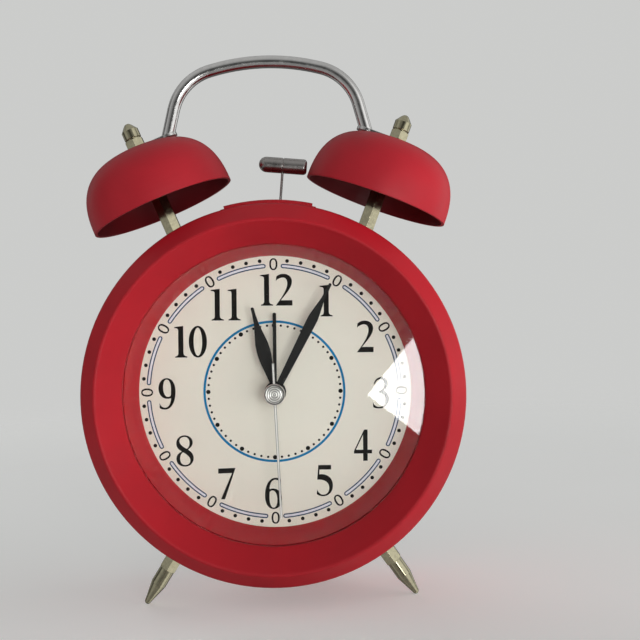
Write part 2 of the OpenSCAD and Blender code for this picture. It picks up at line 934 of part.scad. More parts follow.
module hour_hand() {
    color(dark)
        hand(hour_angle, hour_a, hour_hub_r, hour_out + slip_gap / 2, [
            [0, hour_w * 0.35], [hour_len * 0.14, hour_w * 0.35], [hour_len * 0.23, hour_w * 0.56],
            [hour_len * 0.36, hour_w * 0.86], [hour_len * 0.44, hour_w * 0.98], [hour_len * 0.5, hour_w],
            [hour_len * 0.58, hour_w * 0.93], [hour_len * 0.68, hour_w * 0.68],
            [hour_len * 0.81, hour_w * 0.35], [hour_len * 0.92, 1.05], [hour_len - 0.4, 1],
            [hour_len - 0.1, 0.7], [hour_len, 0.4]
        ]);
}

module minute_hand() {
    color(dark)
        hand(minute_angle, minute_a, minute_hub_r, minute_out + slip_gap / 2, [
            [0, minute_w * 0.66], [minute_len * 0.1, minute_w * 0.66], [minute_len * 0.28, minute_w * 0.78],
            [minute_len * 0.45, minute_w * 0.89], [minute_len * 0.58, minute_w * 0.97],
            [minute_len * 0.69, minute_w], [minute_len * 0.77, minute_w * 0.71],
            [minute_len * 0.86, 1.15], [minute_len - 0.4, 0.95], [minute_len - 0.1, 0.7],
            [minute_len, 0.4]
        ]);
}

module alarm_hand() {
    color(dark)
        hand(alarm_angle, alarm_a, alarm_hub_r, alarm_out + slip_gap / 2, [
            [0, alarm_w], [alarm_len - 0.4, alarm_w], [alarm_len - 0.1, alarm_w * 0.7],
            [alarm_len, alarm_w * 0.4]
        ]);
}

module second_hand() {
    color(steel)
        hand(second_angle, second_a, second_hub_r, arbor_r + slip_gap / 2, [
            [-second_tail, 0.75], [0, 0.85], [second_len - 0.4, 0.65], [second_len, 0.4]
        ]);
}

// Button with rings turned into its face and a groove inside its rim, pressed on the second arbor
module second_cap() {
    hole = arbor_r + slip_gap / 2;
    face_r = cap_r - cap_rim;
    pitch = face_r / cap_rings;
    valley = cap_a + 0.18 * pitch;
    color(steel)
        turned([
            [0, cap_a], for (k = [1 : cap_rings]) each [[(k - 0.5) * pitch, valley], [k * pitch, cap_a]],
            [face_r + 0.1, cap_a + 0.3], [face_r + 0.2, cap_a + 0.05], [cap_r - 0.15, cap_a + 0.05],
            [cap_r, cap_a + 0.25], [cap_r, second_a], [hole, second_a], [hole, cap_a + 0.6],
            [0, cap_a + 0.6]
        ]);
}

// Movement

module movement_plate() {
    color("#3c4046")
        difference() {
            union() {
                slab(dial_back, plate_t)
                    translate([-move_x, -move_bottom])
                        square([move_w, move_top + move_bottom]);
                bar([0, 0], dial_a + 0.4, dial_t, bush_out);
                for (at = columns)
                    bar(at, plate_back - tiny, train_a - plate_back + tiny, column_r);
            }
            bar([0, 0], dial_a - 1, dial_t + plate_t + 2, bush_in);
            bar(time_at, dial_back + 0.3, plate_t + 1, stem_r + run_gap);
            bar(alarm_at, dial_back + 0.3, plate_t + 1, stem_r + run_gap);
            for (side = [-1, 1])
                bar([side * (move_x - 9), 0], dial_back - 1, plate_t + 2, 1 + slip_gap);
            for (at = columns)
                bar(at, plate_back + 0.6, train_a, screw_r + slip_gap);
        }
}

module train_plate() {
    margin = box_wall + slip_gap;
    color("#8d9298")
        slab(train_a, train_t)
            difference() {
                translate([-move_x + margin, -move_bottom + margin])
                    square([move_w - 2 * margin, move_top + move_bottom - 2 * margin]);
                translate([core_x - 3.2, core_low + 2])
                    square([6.4, core_top - core_low - 4]);
                circle(minute_out + run_gap);
                for (at = [time_at, alarm_at])
                    translate(at)
                        circle(stem_r + run_gap);
                for (at = [third_at, step_at, rotor_at])
                    translate(at)
                        circle(arbor_r + run_gap);
                for (at = columns)
                    translate(at)
                        circle(screw_r + slip_gap);
            }
}

module movement_cover() {
    color("#2c2f34")
        difference() {
            union() {
                difference() {
                    slab(plate_back, cover_back - plate_back)
                        translate([-move_x, -move_bottom])
                            square([move_w, move_top + move_bottom]);
                    slab(plate_back - 1, cover_in - plate_back + 1)
                        translate([-move_x + box_wall, -move_bottom + box_wall])
                            square([move_w - 2 * box_wall, move_top + move_bottom - 2 * box_wall]);
                }
                for (at = columns)
                    bar(at, train_back, cover_in - train_back + tiny, column_r);
            }
            for (at = [[0, 0], third_at, step_at, rotor_at])
                bar(at, cover_in - 1, 2 + cover_wall, arbor_r + run_gap);
            bar(time_at, cover_in - 1, 2 + cover_wall, stem_r + run_gap);
            bar(alarm_at, cover_in - 1, 2 + cover_wall, stem_r + run_gap);
            for (at = columns)
                bar(at, train_back - 1, cover_back - train_back + 2, screw_r + slip_gap);
        }
}

module movement_screws() {
    color(steel)
        for (at = columns)
            screw(at, cover_back, 1.9, cover_back - plate_back - 1.5);
}

// Iron plate round the rotor, with two arms to the coil core
module stepper_core() {
    arm = 2.4;
    color("#8a8f96") {
        slab(stepper_a, core_t)
            difference() {
                union() {
                    translate(rotor_at)
                        circle(stator_half);
                    translate([core_x - 1.2, core_top - arm])
                        square([rotor_at[0] - core_x + 1.2, arm]);
                    translate([rotor_at[0] - 2, core_low])
                        square([4, rotor_at[1] - core_low]);
                    translate([core_x - 1.2, core_low])
                        square([rotor_at[0] - core_x + 1.2, arm]);
                }
                translate(rotor_at)
                    circle(2.2 + pass_gap);
            }
        slab(stepper_a + core_t - tiny, core_t)
            translate([core_x - 1, core_low])
                square([2, core_top - core_low]);
    }
}

module stepper_coil() {
    half = (core_top - core_low) / 2 - 3;
    mid = (core_top + core_low) / 2;
    color("#b0673a")
        difference() {
            translate([core_x, stepper_a + 1.5 * core_t - mid_a, axis_z + mid - half])
                cylinder(h = 2 * half, r = coil_r);
            slab(stepper_a + core_t - slip_gap, core_t + 2 * slip_gap)
                translate([core_x - 1 - slip_gap, mid - half - 1])
                    square([2 + 2 * slip_gap, 2 * half + 2]);
        }
}

module circuit_board() {
    color("#2f6b45")
        slab(train_back, 1)
            translate([board_x, board_low])
                square([board_w, board_h]);
}

module quartz_crystal() {
    color(steel)
        translate([board_x + 3.5, train_back + 2 - mid_a, axis_z - crystal_len / 2])
            cylinder(h = crystal_len, r = 1);
}

// Going train

module second_wheel() {
    m_wheel = gear_module(train_reach, second_teeth);
    m_pinion = gear_module(train_reach, third_teeth);
    color(brass) {
        bar([0, 0], cap_a + 0.7, cover_back - 0.2 - cap_a - 0.7, arbor_r);
        gear([0, 0], second_layer, wheel_t, second_teeth[0], m_wheel, 0, 0.2);
        gear([0, 0], third_layer, pinion_t, third_teeth[1], m_pinion,
            mesh_turn(third_dir + 180, third_teeth[0], third_teeth[1]), 0.2);
    }
}

module step_wheel() {
    m_wheel = gear_module(rotor_reach, step_teeth);
    m_pinion = gear_module(train_reach, second_teeth);
    color("#e4e0d4") {
        bar(step_at, train_a + 0.2, cover_back - train_a - 0.4, arbor_r);
        gear(step_at, step_layer, wheel_t, step_teeth[0], m_wheel, 0, 0.2);
        gear(step_at, second_layer, pinion_t, second_teeth[1], m_pinion,
            mesh_turn(step_dir, second_teeth[0], second_teeth[1]), 0.2);
    }
}

module rotor() {
    m_pinion = gear_module(rotor_reach, step_teeth);
    color("#5a5d61") {
        bar(rotor_at, train_a + 0.2, cover_back - train_a - 0.4, arbor_r);
        bar(rotor_at, train_back + 0.3, 1.6, 2.2);
        gear(rotor_at, step_layer, pinion_t, step_teeth[1], m_pinion,
            mesh_turn(step_dir, step_teeth[0], step_teeth[1]), 0.2);
    }
}

module third_wheel() {
    m_wheel = gear_module(train_reach, third_teeth);
    m_pinion = gear_module(train_reach, centre_teeth);
    color("#e4e0d4") {
        bar(third_at, train_a + 0.2, cover_back - train_a - 0.4, arbor_r);
        gear(third_at, third_layer, wheel_t, third_teeth[0], m_wheel, 0, 0.2);
        gear(third_at, centre_layer, pinion_t, centre_teeth[1], m_pinion,
            mesh_turn(third_dir, centre_teeth[0], centre_teeth[1]), 0.2);
    }
}

module centre_wheel() {
    color(brass)
        gear([0, 0], centre_layer, wheel_t, centre_teeth[0], gear_module(train_reach, centre_teeth), 0,
            minute_out + run_gap);
}

// Motion work

module cannon_pinion() {
    color(brass) {
        tube([0, 0], minute_a, centre_layer + wheel_t / 2 + 0.2 - minute_a, minute_out, minute_in);
        gear([0, 0], motion_layer, pinion_t, motion_teeth[1], gear_module(time_reach, motion_teeth),
            mesh_turn(time_dir + 180, motion_teeth[0], motion_teeth[1]), minute_out - 0.1);
    }
}

module hour_wheel() {
    color("#e4e0d4") {
        tube([0, 0], hour_a, hour_layer + wheel_t / 2 - hour_a, hour_out, hour_in);
        gear([0, 0], hour_layer, wheel_t, hour_teeth[0], gear_module(time_reach, hour_teeth), 0,
            hour_out - 0.1);
    }
}

module motion_wheel() {
    color("#e4e0d4") {
        bar(time_at, dial_back + 0.5, knob_a + 4.5 - dial_back - 0.5, stem_r);
        gear(time_at, motion_layer, wheel_t, motion_teeth[0], gear_module(time_reach, motion_teeth),
            0, 0.5);
        gear(time_at, hour_layer, pinion_t, hour_teeth[1], gear_module(time_reach, hour_teeth),
            mesh_turn(time_dir, hour_teeth[0], hour_teeth[1]), 0.5);
    }
}

module alarm_wheel() {
    color("#e4e0d4") {
        tube([0, 0], alarm_a, alarm_layer + wheel_t / 2 - alarm_a, alarm_out, alarm_in);
        gear([0, 0], alarm_layer, wheel_t, alarm_teeth[0], gear_module(alarm_reach, alarm_teeth), 0,
            alarm_out - 0.1);
    }
}

module alarm_pinion() {
    color("#e4e0d4") {
        bar(alarm_at, dial_back + 0.5, knob_a + 4.5 - dial_back - 0.5, stem_r);
        gear(alarm_at, alarm_layer, wheel_t, alarm_teeth[1], gear_module(alarm_reach, alarm_teeth),
            mesh_turn(alarm_dir, alarm_teeth[0], alarm_teeth[1]), 0.5);
    }
}

// Knob with grip grooves and a blind bore for its stem
module knob(at) {
    grooves = 20;
    color(dark)
        difference() {
            slab(knob_a, knob_len)
                translate(at)
                    difference() {
                        circle(knob_r);
                        for (k = [0 : grooves - 1])
                            rotate(360 * k / grooves)
                                translate([knob_r + 0.25, 0])
                                    circle(0.65, $fn = 24);
                    }
            bar(at, knob_a - 1, 6, stem_r + slip_gap / 2);
        }
}

module time_knob() {
    knob(time_at);
}

module alarm_knob() {
    knob(alarm_at);
}

// Battery

module battery_cell() {
    nub = 1.2;
    nub_r = 2.7;
    color("#6d7b3f")
        translate([cell_end - cell_len, cell_a - mid_a, axis_z + tray_w])
            rotate([0, 90, 0])
                rotate_extrude()
                    polygon([
                        [0, 0], [cell_r - 1, 0], [cell_r, 0.6], [cell_r, cell_len - nub - 0.6],
                        [cell_r - 0.8, cell_len - nub], [nub_r, cell_len - nub], [nub_r, cell_len],
                        [0, cell_len]
                    ]);
}

module positive_contact() {
    color(steel)
        translate([cell_end, cell_a - 5 - mid_a, axis_z + tray_w - 5])
            cube([tray_x - cell_end, 10, 10]);
}

// Folded spring leaf between the tray wall and the flat end of the cell
module negative_contact() {
    gap = tray_x + cell_end - cell_len;
    color(steel)
        translate([-tray_x, cell_a - 4 - mid_a, axis_z + tray_w])
            rotate([-90, 0, 0])
                linear_extrude(8)
                    polygon([
                        [0, -5], [0.4, -5], [0.4, 3.4], [gap, -1], [gap, 0.4], [0.4, 5], [0, 5]
                    ]);
}

module battery_cover() {
    open_x = tray_x + tray_wall + door_margin - slip_gap * 2;
    open_half = tray_half + tray_wall + door_margin - slip_gap * 2;
    color(dark)
        slab(case_depth + 0.8, cover_t - 0.8)
            difference() {
                translate([-open_x, tray_w - open_half])
                    square([2 * open_x, 2 * open_half]);
                translate([open_x - 5, tray_w - 4])
                    square([1.5, 8]);
            }
}

// Alarm switch

module alarm_switch() {
    color("#d8d8d4") {
        slab(case_depth - 1.5, cover_t + 3.5)
            translate([switch_x - 1.2, switch_w - 1.1])
                square([2.4, 2.2]);
        slab(case_depth - 1.5, 1.2)
            translate([switch_x - 2.4, switch_w - 2.6])
                square([4.8, 5.2]);
    }
}

// Channel that guides the foot of the switch, with its contact block
module switch_contact() {
    x0 = switch_x - 3.6;
    len_x = switch_travel + 7.2;
    color("#3c4046")
        difference() {
            slab(case_depth - 4.6, 4.6)
                translate([x0, switch_w - 4.4])
                    square([len_x, 8.8]);
            slab(case_depth - 1.9, 3)
                translate([x0 + 0.8, switch_w - 3])
                    square([len_x - 1.6, 6]);
        }
}

// Hammer

// Rod of turned steel with one round and one softened end, grooved where the wire meets it
module hammer_head() {
    half = head_len / 2;
    soft = 1.1;
    color(steel)
        on_hammer()
            translate([0, 0, hammer_len])
                difference() {
                    rotate([0, 90, 0])
                        rotate_extrude()
                            polygon(concat(
                                [
                                    for (t = [0 : 10 : 90])
                                        [head_r * sin(t), -half + head_r * (1 - cos(t))]
                                ],
                                [
                                    [head_r, -0.25], [head_r - 0.2, -0.15],
                                    [head_r - 0.2, 0.15], [head_r, 0.25]
                                ],
                                [
                                    for (t = [0 : 15 : 90])
                                        [head_r - soft + soft * cos(t), half - soft + soft * sin(t)]
                                ],
                                [[0, half]]
                            ));
                    translate([0, 0, -head_r - 1])
                        cylinder(h = head_r + 2, r = wire_r + slip_gap / 2);
                }
}

module hammer_rod() {
    color(steel)
        on_hammer()
            translate([0, 0, lever_len - 5])
                cylinder(h = hammer_len + 0.8 - lever_len + 5, r = wire_r);
}

module hammer_lever() {
    color("#e4e0d4")
        on_hammer()
            difference() {
                translate([0, lever_t / 2, 0])
                    rotate([90, 0, 0])
                        linear_extrude(lever_t)
                            difference() {
                                union() {
                                    circle(lever_hub_r);
                                    translate([-lever_w / 2, 0])
                                        square([lever_w, lever_len]);
                                }
                                circle(lever_hole_r);
                            }
                translate([0, 0, lever_len - 5.2])
                    cylinder(h = 6, r = wire_r + slip_gap / 2);
            }
}

module hammer_magnet() {
    color("#5a5d61")
        on_hammer()
            translate([-magnet_half, lever_t / 2, magnet_w - 2.5])
                cube([2 * magnet_half, magnet_t, 5]);
}

module hammer_pivot_pin() {
    color(steel) {
        bar([0, pivot_w], post_a - lever_t / 2 - 0.8, bracket_back - post_a + lever_t / 2 + 0.8, 1);
        bar([0, pivot_w], post_a - lever_t / 2 - 1.3, 0.9, 1.8);
        bar([0, pivot_w], post_a + lever_t / 2 + 0.4, bracket_a - post_a - lever_t / 2 - 0.4, 1.8);
    }
}

module bell_bracket() {
    ear = bracket_hole_at * [sin(bracket_dir), cos(bracket_dir)];
    color("#8d9298")
        slab(bracket_a, bracket_t)
            difference() {
                union() {
                    translate([-12, pivot_w - 5])
                        square([24, ear[1] - pivot_w + 5]);
                    translate([-ear[0], ear[1] - 3])
                        square([2 * ear[0], 3.6]);
                    for (side = [-1, 1])
                        translate([side * ear[0], ear[1]])
                            circle(2.1);
                }
                translate([0, pivot_w])
                    circle(1 + slip_gap / 2);
                for (side = [-1, 1]) {
                    translate([side * ear[0], ear[1]])
                        circle(screw_r + slip_gap);
                    translate([side * (pole_x + pole_t / 2), pivot_w + magnet_w])
                        square([pole_t + 2 * slip_gap, 4 + 2 * slip_gap], center = true);
                }
            }
}

module bracket_screws() {
    color(steel)
        for (side = [-1, 1])
            screw(bracket_hole_at * [side * sin(bracket_dir), cos(bracket_dir)], bracket_back, 1.9,
                bracket_screw_len);
}

// Core bar through the coil with two poles beside the hammer magnet
module bell_core() {
    bar_a = bracket_back + bell_coil_d / 2 - 1;
    color("#8a8f96") {
        slab(bar_a, 2)
            translate([-pole_x - pole_t, pivot_w + magnet_w - 2])
                square([2 * (pole_x + pole_t), 4]);
        for (side = [-1, 1])
            slab(post_a + lever_t / 2, bar_a + 2 - post_a - lever_t / 2)
                translate([side * (pole_x + pole_t / 2), pivot_w + magnet_w])
                    square([pole_t, 4], center = true);
    }
}

module bell_coil() {
    half = pole_x - slip_gap;
    bar_a = bracket_back + bell_coil_d / 2 - 1;
    color("#b0673a")
        difference() {
            translate([-half, bracket_back + bell_coil_d / 2 - mid_a, axis_z + pivot_w + magnet_w])
                rotate([0, 90, 0])
                    cylinder(h = 2 * half, r = bell_coil_d / 2);
            slab(bar_a - slip_gap, 2 + 2 * slip_gap)
                translate([-half - 1, pivot_w + magnet_w - 2 - slip_gap])
                    square([2 * half + 2, 4 + 2 * slip_gap]);
        }
}

case_shell();
front_bezel();
lens();
spacer_ring();
dial();
back_cover();
cover_screws();
rear_pad();
left_bell();
right_bell();
left_post();
right_post();
post_nuts();
left_finial();
right_finial();
handle();
left_foot();
right_foot();
hour_hand();
minute_hand();
alarm_hand();
second_hand();
second_cap();
movement_plate();
train_plate();
movement_cover();
movement_screws();
stepper_core();
stepper_coil();
circuit_board();
quartz_crystal();
second_wheel();
step_wheel();
rotor();
third_wheel();
centre_wheel();
cannon_pinion();
hour_wheel();
motion_wheel();
alarm_wheel();
alarm_pinion();
time_knob();
alarm_knob();
battery_cell();
positive_contact();
negative_contact();
battery_cover();
alarm_switch();
switch_contact();
hammer_head();
hammer_rod();
hammer_lever();
hammer_magnet();
hammer_pivot_pin();
bell_bracket();
bracket_screws();
bell_core();
bell_coil();
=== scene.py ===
import math

import bmesh
import bpy
from mathutils import Matrix, Vector


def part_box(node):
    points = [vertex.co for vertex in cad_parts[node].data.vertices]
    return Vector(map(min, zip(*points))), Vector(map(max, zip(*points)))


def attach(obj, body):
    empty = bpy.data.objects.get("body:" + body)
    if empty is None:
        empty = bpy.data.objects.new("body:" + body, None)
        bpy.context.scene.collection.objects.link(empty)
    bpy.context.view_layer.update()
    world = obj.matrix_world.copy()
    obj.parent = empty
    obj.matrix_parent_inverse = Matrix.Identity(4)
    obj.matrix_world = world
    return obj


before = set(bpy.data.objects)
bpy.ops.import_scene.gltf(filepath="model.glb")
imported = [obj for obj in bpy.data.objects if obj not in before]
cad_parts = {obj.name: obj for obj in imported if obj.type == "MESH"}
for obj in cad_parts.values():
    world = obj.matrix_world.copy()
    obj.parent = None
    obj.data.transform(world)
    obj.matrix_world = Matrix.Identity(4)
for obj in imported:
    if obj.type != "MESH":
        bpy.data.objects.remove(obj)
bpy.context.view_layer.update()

bl_info = {
    "name": "Twin bell alarm clock",
    "version": (1, 0, 0),
    "blender": (4, 5, 0),
    "location": "3D View > Sidebar > Clock",
    "description": "Finishes, dial print, stage and camera of the clock",
    "category": "Object",
}

MM = 0.001

# Brightness mirrored from each bearing, in degrees to the right of the front
MIRRORED = (
    (-150, 0.10), (-125, 0.60), (-105, 0.12), (-85, 0.12), (-72, 0.60), (-50, 0.60), (-36, 0.36),
    (26, 0.36), (40, 1.50), (74, 1.50), (86, 0.60), (100, 0.60), (118, 1.40), (148, 0.12),
)

# Share to which the mirrored brightness falls straight in front, and the aims along y between
# which it falls
FRONT_DIM = 0.25
FRONT_EDGE = (-0.97, -0.90)

# Brightness mirrored from overhead, and the aims along z between which it takes over
OVERHEAD = 0.66
OVERHEAD_EDGE = (0.40, 0.80)

# Place, direction, and width and height of each lamp in metres
LAMPS = {
    "key": ((1.49, -0.20, 0.12), (-1.49, 0.20, 0.0), (1.5, 0.6)),
    "front": ((0.30, -1.60, 0.10), (-0.30, 1.60, 0.0), (1.0, 0.8)),
    "fill": ((-0.6, 1.1, 0.55), (0.6, -1.1, -0.47), (1.2, 0.8)),
    "window": ((0.149, -0.367, 0.0352), (0.0, 1.0, 0.0), (0.14, 0.14)),
}
WINDOW_TURN = math.radians(50.0)

# Radius of the floor, and the radii between which it fades into the surroundings
FLOOR_R = 1.0
FLOOR_FADE = (0.22, 0.65)

# Turned face of the second hand's cap: width of its rim and number of rings, as built
CAP_RIM = 0.6 * MM
CAP_RINGS = 4

# Lean of the second hand to the right of straight down, as built
SECOND_LEAN = math.radians(1.2)

# Distances from the second hand's middle where the painted shade on its edges begins and is full
HAND_SHADE_EDGE = (0.18 * MM, 0.27 * MM)

# Diameter of the hammer head, as built
HEAD_D = 5.0 * MM

# Colour of painted shade on a finish, as a share of the finish's own
SHADE_SHARE = 0.35

# Thickness of the hour mark's line at its sides and at its ends
ZERO_SIDE = 0.58 * MM
ZERO_END = 0.46 * MM
CLOCK_BODY = "clock"

# The dial's front face and the axis that the hands turn on
dial_low, dial_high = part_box("dial")
DIAL_Y = dial_low.y
AXIS_Z = (dial_low.z + dial_high.z) / 2
DIAL_CENTRE = Vector((0, DIAL_Y, AXIS_Z))

# Outlines of the numerals in shares of their height, as moves, lines and curves
NUMERALS = {
    "0": "M .2885 1.005 C .448 1.005 .577 .779 .577 .5 C .577 .221 .448 -.005 .2885 -.005"
         " C .129 -.005 0 .221 0 .5 C 0 .779 .129 1.005 .2885 1.005 Z"
         " M .2885 .945 C .213 .945 .153 .745 .153 .5 C .153 .255 .213 .055 .2885 .055"
         " C .364 .055 .424 .255 .424 .5 C .424 .745 .364 .945 .2885 .945 Z",
    "1": "M 0 .935 L 0 .972 L .284 1.005 L .284 .14 C .284 .08 .33 .045 .405 .035 L .405 0"
         " L .02 0 L .02 .035 C .08 .045 .122 .07 .122 .14 L .122 .86"
         " C .122 .915 .09 .935 0 .935 Z",
    "2": "M .01 .784 L .025 .918 C .1 .985 .17 1.006 .257 1.006 C .42 1.006 .524 .9 .524 .764"
         " C .524 .6 .4 .44 .164 .168 L .534 .168 L .534 0 L 0 0"
         " C .2 .25 .374 .52 .374 .7 C .374 .82 .32 .887 .236 .887"
         " C .15 .887 .07 .84 .01 .784 Z",
    "3": "M .025 .79 C .06 .92 .14 1 .26 1 C .39 1 .475 .92 .475 .8 C .475 .7 .42 .62 .33 .565"
         " C .44 .53 .51 .44 .51 .31 C .51 .12 .37 0 .19 0 C .1 0 .04 .02 0 .055 L 0 .2"
         " C .04 .1 .11 .052 .2 .052 C .32 .052 .39 .14 .39 .28 C .39 .42 .3 .5 .16 .51"
         " L .16 .555 C .28 .575 .36 .66 .36 .775 C .36 .87 .31 .925 .225 .925"
         " C .14 .925 .085 .87 .06 .775 Z",
    "4": "M .33 1 L .44 1 L .44 .355 L .58 .355 L .58 .235 L .44 .235 L .44 0 L .295 0"
         " L .295 .235 L 0 .235 L 0 .31 Z M .295 .355 L .295 .83 L .065 .355 Z",
    "5": "M .057 1 L .467 1 L .467 .855 L .095 .855 L .087 .7 C .12 .707 .15 .71 .185 .707"
         " C .39 .69 .52 .55 .52 .35 C .52 .14 .39 0 .208 0 C .12 0 .05 .03 0 .075"
         " L .018 .222 C .05 .12 .12 .052 .215 .052 C .33 .052 .402 .14 .402 .27"
         " C .402 .44 .26 .55 .019 .533 Z",
    "7": "M 0 .985 L .552 1 L .209 0 L .08 0 L .44 .838 L 0 .824 Z",
    "8": "M .2625 1 C .41 1 .521 .9 .521 .768 C .521 .67 .46 .6 .37 .545"
         " C .49 .47 .548 .385 .548 .268 C .548 .11 .43 0 .271 0 C .11 0 0 .1 0 .25"
         " C 0 .36 .06 .43 .173 .485 C .06 .55 0 .63 0 .741 C 0 .89 .11 1 .2625 1 Z"
         " M .2625 .948 C .16 .948 .1 .89 .1 .81 C .1 .71 .2 .64 .33 .565"
         " C .39 .61 .42 .67 .42 .755 C .42 .87 .36 .948 .2625 .948 Z"
         " M .212 .462 C .15 .41 .116 .34 .116 .255 C .116 .13 .18 .053 .28 .053"
         " C .375 .053 .442 .11 .442 .2 C .442 .31 .34 .38 .212 .462 Z",
    "9": "M .395 .365 C .36 .35 .32 .342 .275 .342 C .11 .342 0 .49 0 .667"
         " C 0 .86 .11 1 .265 1 C .43 1 .54 .83 .54 .58 C .54 .24 .41 0 .205 0"
         " C .13 0 .07 .02 .03 .05 L .03 .215 C .06 .11 .12 .062 .205 .062"
         " C .31 .062 .385 .17 .395 .365 Z"
         " M .148 .7 C .148 .85 .19 .955 .262 .955 C .345 .955 .396 .83 .396 .66"
         " C .396 .6 .395 .5 .39 .455 C .37 .42 .335 .405 .3 .405"
         " C .205 .405 .148 .53 .148 .7 Z",
}

# Each hour's numeral: degrees round the dial and mm from the centre to its middle
NUMERAL_PLACES = {
    "1": (30.1, 33.2), "2": (59.2, 33.7), "3": (91.3, 33.9), "4": (121.9, 33.0),
    "5": (151.2, 32.7), "6": (181.1, 32.6), "7": (207.7, 33.1), "8": (236.8, 34.2),
    "9": (269.2, 34.1), "10": (301.2, 30.9), "11": (331.2, 31.6), "12": (1.5, 32.3),
}
DIGIT_GAPS = {"10": 0.05, "11": 0.13, "12": 0.08}


def millimetres(name, description, default):
    """A length setting, typed in mm and kept in metres."""
    return bpy.props.FloatProperty(
        name=name, description=description, default=default * MM, min=0.0,
        precision=5, unit="LENGTH")


def colour(name, description, default):
    """A colour setting in linear values."""
    return bpy.props.FloatVectorProperty(
        name=name, description=description, default=default, size=3,
        min=0.0, max=1.0, subtype="COLOR")


class ClockPrint(bpy.types.PropertyGroup):
    """Sizes of what is printed on the dial"""

    turn: bpy.props.FloatProperty(
        name="Turn", description="Clockwise turn of the whole print on the dial",
        default=math.radians(1.5), subtype="ANGLE")
    shift: bpy.props.FloatVectorProperty(
        name="Shift", description="Shift of the whole print on the dial", size=3,
        default=(-0.3 * MM, 0.0, 0.15 * MM), subtype="TRANSLATION", unit="LENGTH")
    thickness: millimetres("Ink", "Thickness of the ink", 0.03)
    numeral_h: millimetres("Numeral height", "Height of the hour numerals", 10.0)
    zero_h: millimetres("Zero height", "Length of the hour mark in the outer ring", 3.8)
    zero_w: millimetres("Zero width", "Width of the hour mark in the outer ring", 2.62)
    zero_r: millimetres("Zero ring", "Radius on which the hour marks stand", 40.4)
    dot_r: millimetres("Minute dot", "Radius of a minute dot in the outer ring", 0.6)
    dot_ring_r: millimetres("Minute ring", "Radius on which the minute dots stand", 41.6)
    bar_r: millimetres("Bar ring", "Middle radius of the curved bars", 39.9)
    bar_w: millimetres("Bar width", "Overall width of a curved bar", 1.4)
    bar_line: millimetres("Bar line", "Thickness of a bar's outline", 0.36)
    bar_start: bpy.props.FloatProperty(
        name="Bar start", description="Angle from the hour mark to the start of its bar",
        default=math.radians(3.3), subtype="ANGLE")
    bar_end: bpy.props.FloatProperty(
        name="Bar end", description="Angle from the hour mark to the end of its bar",
        default=math.radians(26.5), subtype="ANGLE")
    ring_r: millimetres("Blue ring", "Middle radius of the blue ring", 22.2)
    ring_w: millimetres("Blue ring line", "Thickness of the blue ring", 0.75)
    inner_r: millimetres("Inner ring", "Radius on which the inner dots stand", 21.0)
    inner_dot_r: millimetres("Inner dot", "Radius of an inner minute dot", 0.39)
    inner_hour_r: millimetres("Inner hour dot", "Radius of an inner hour dot", 0.7)


class ClockColours(bpy.types.PropertyGroup):
    """Colours of the finishes"""

    case_red: colour("Case red", "Moulded plastic of bezel and drum", (0.43, 0.009, 0.0175))
    bell_red: colour("Bell red", "Matte paint of the bells", (0.41, 0.0135, 0.023))
    paper: colour("Dial", "Off-white of the dial", (0.84, 0.81, 0.706))
    ink: colour("Ink", "Near black of the dial print", (0.006, 0.005, 0.0035))
    ring_blue: colour("Ring blue", "Blue of the inner ring", (0.004, 0.19, 0.42))
    bar_blue: colour("Bar blue", "Blue of the bars' outlines", (0.018, 0.055, 0.13))
    bar_white: colour("Bar white", "Fill of the bars", (0.80, 0.83, 0.89))
    hand_black: colour("Hands", "Lacquer of the hands", (0.010, 0.0095, 0.009))
    nickel: colour("Nickel", "Plating of posts, finials and feet", (0.42, 0.392, 0.265))
    chrome: colour("Chrome", "Plating of the handle", (0.64, 0.635, 0.62))
    steel: colour("Steel", "Turned steel of the hammer", (0.34, 0.325, 0.31))
    bright: colour("Bright metal", "Second hand and its cap", (0.72, 0.71, 0.68))
    black: colour("Black", "Plastic of the back", (0.020, 0.020, 0.022))


class ClockStage(bpy.types.PropertyGroup):
    """Floor, light and camera"""

    floor: colour("Floor", "Pale floor", (0.86, 0.86, 0.845))
    backdrop: colour("Backdrop", "Pale surroundings", (0.60, 0.605, 0.595))
    ambient: bpy.props.FloatProperty(
        name="Ambient", description="Light from all round", default=0.24, min=0.0)
    lift: bpy.props.FloatProperty(
        name="Floor lift", description="Share of white added to the floor as the camera sees it",
        default=0.25, min=0.0, max=1.0)
    unmirrored: bpy.props.FloatProperty(
        name="Floor unmirrored", description="Share of the floor that polished metal sees through",
        default=0.8, min=0.0, max=1.0)
    key: bpy.props.FloatProperty(
        name="Key", description="Soft light from the right", default=18.0, min=0.0, unit="POWER")
    front: bpy.props.FloatProperty(
        name="Front", description="Soft light from the front", default=13.0, min=0.0, unit="POWER")
    fill: bpy.props.FloatProperty(
        name="Fill", description="Weak light on the back", default=4.0, min=0.0, unit="POWER")
    window: bpy.props.FloatProperty(
        name="Window", description="Panel whose corner mirrors in the lens", default=0.55,
        min=0.0, unit="POWER")
    camera_at: bpy.props.FloatVectorProperty(
        name="Camera", description="Place of the camera", size=3, subtype="TRANSLATION",
        default=(0.0113, -0.298, 0.0941), unit="LENGTH")
    camera_right: bpy.props.FloatProperty(
        name="Right", description="Turn of the camera to the right",
        default=math.radians(0.72), subtype="ANGLE")
    camera_down: bpy.props.FloatProperty(
        name="Down", description="Tilt of the camera downward",
        default=math.radians(1.35), subtype="ANGLE")
    camera_roll: bpy.props.FloatProperty(
        name="Roll", description="Clockwise roll of the camera",
        default=math.radians(1.95), subtype="ANGLE")
    lens: bpy.props.FloatProperty(
        name="Lens", description="Focal length on a 36 mm sensor", default=51.2, min=1.0)


# Node helpers

def add_node(tree, kind, feeds=None, **settings):
    """New node with its settings, each input fed by a socket or set to a value."""
    node = tree.nodes.new(kind)
    for key, value in settings.items():
        setattr(node, key, value)
    for key, value in (feeds or {}).items():
        feed(tree, node.inputs[key], value)
    return node


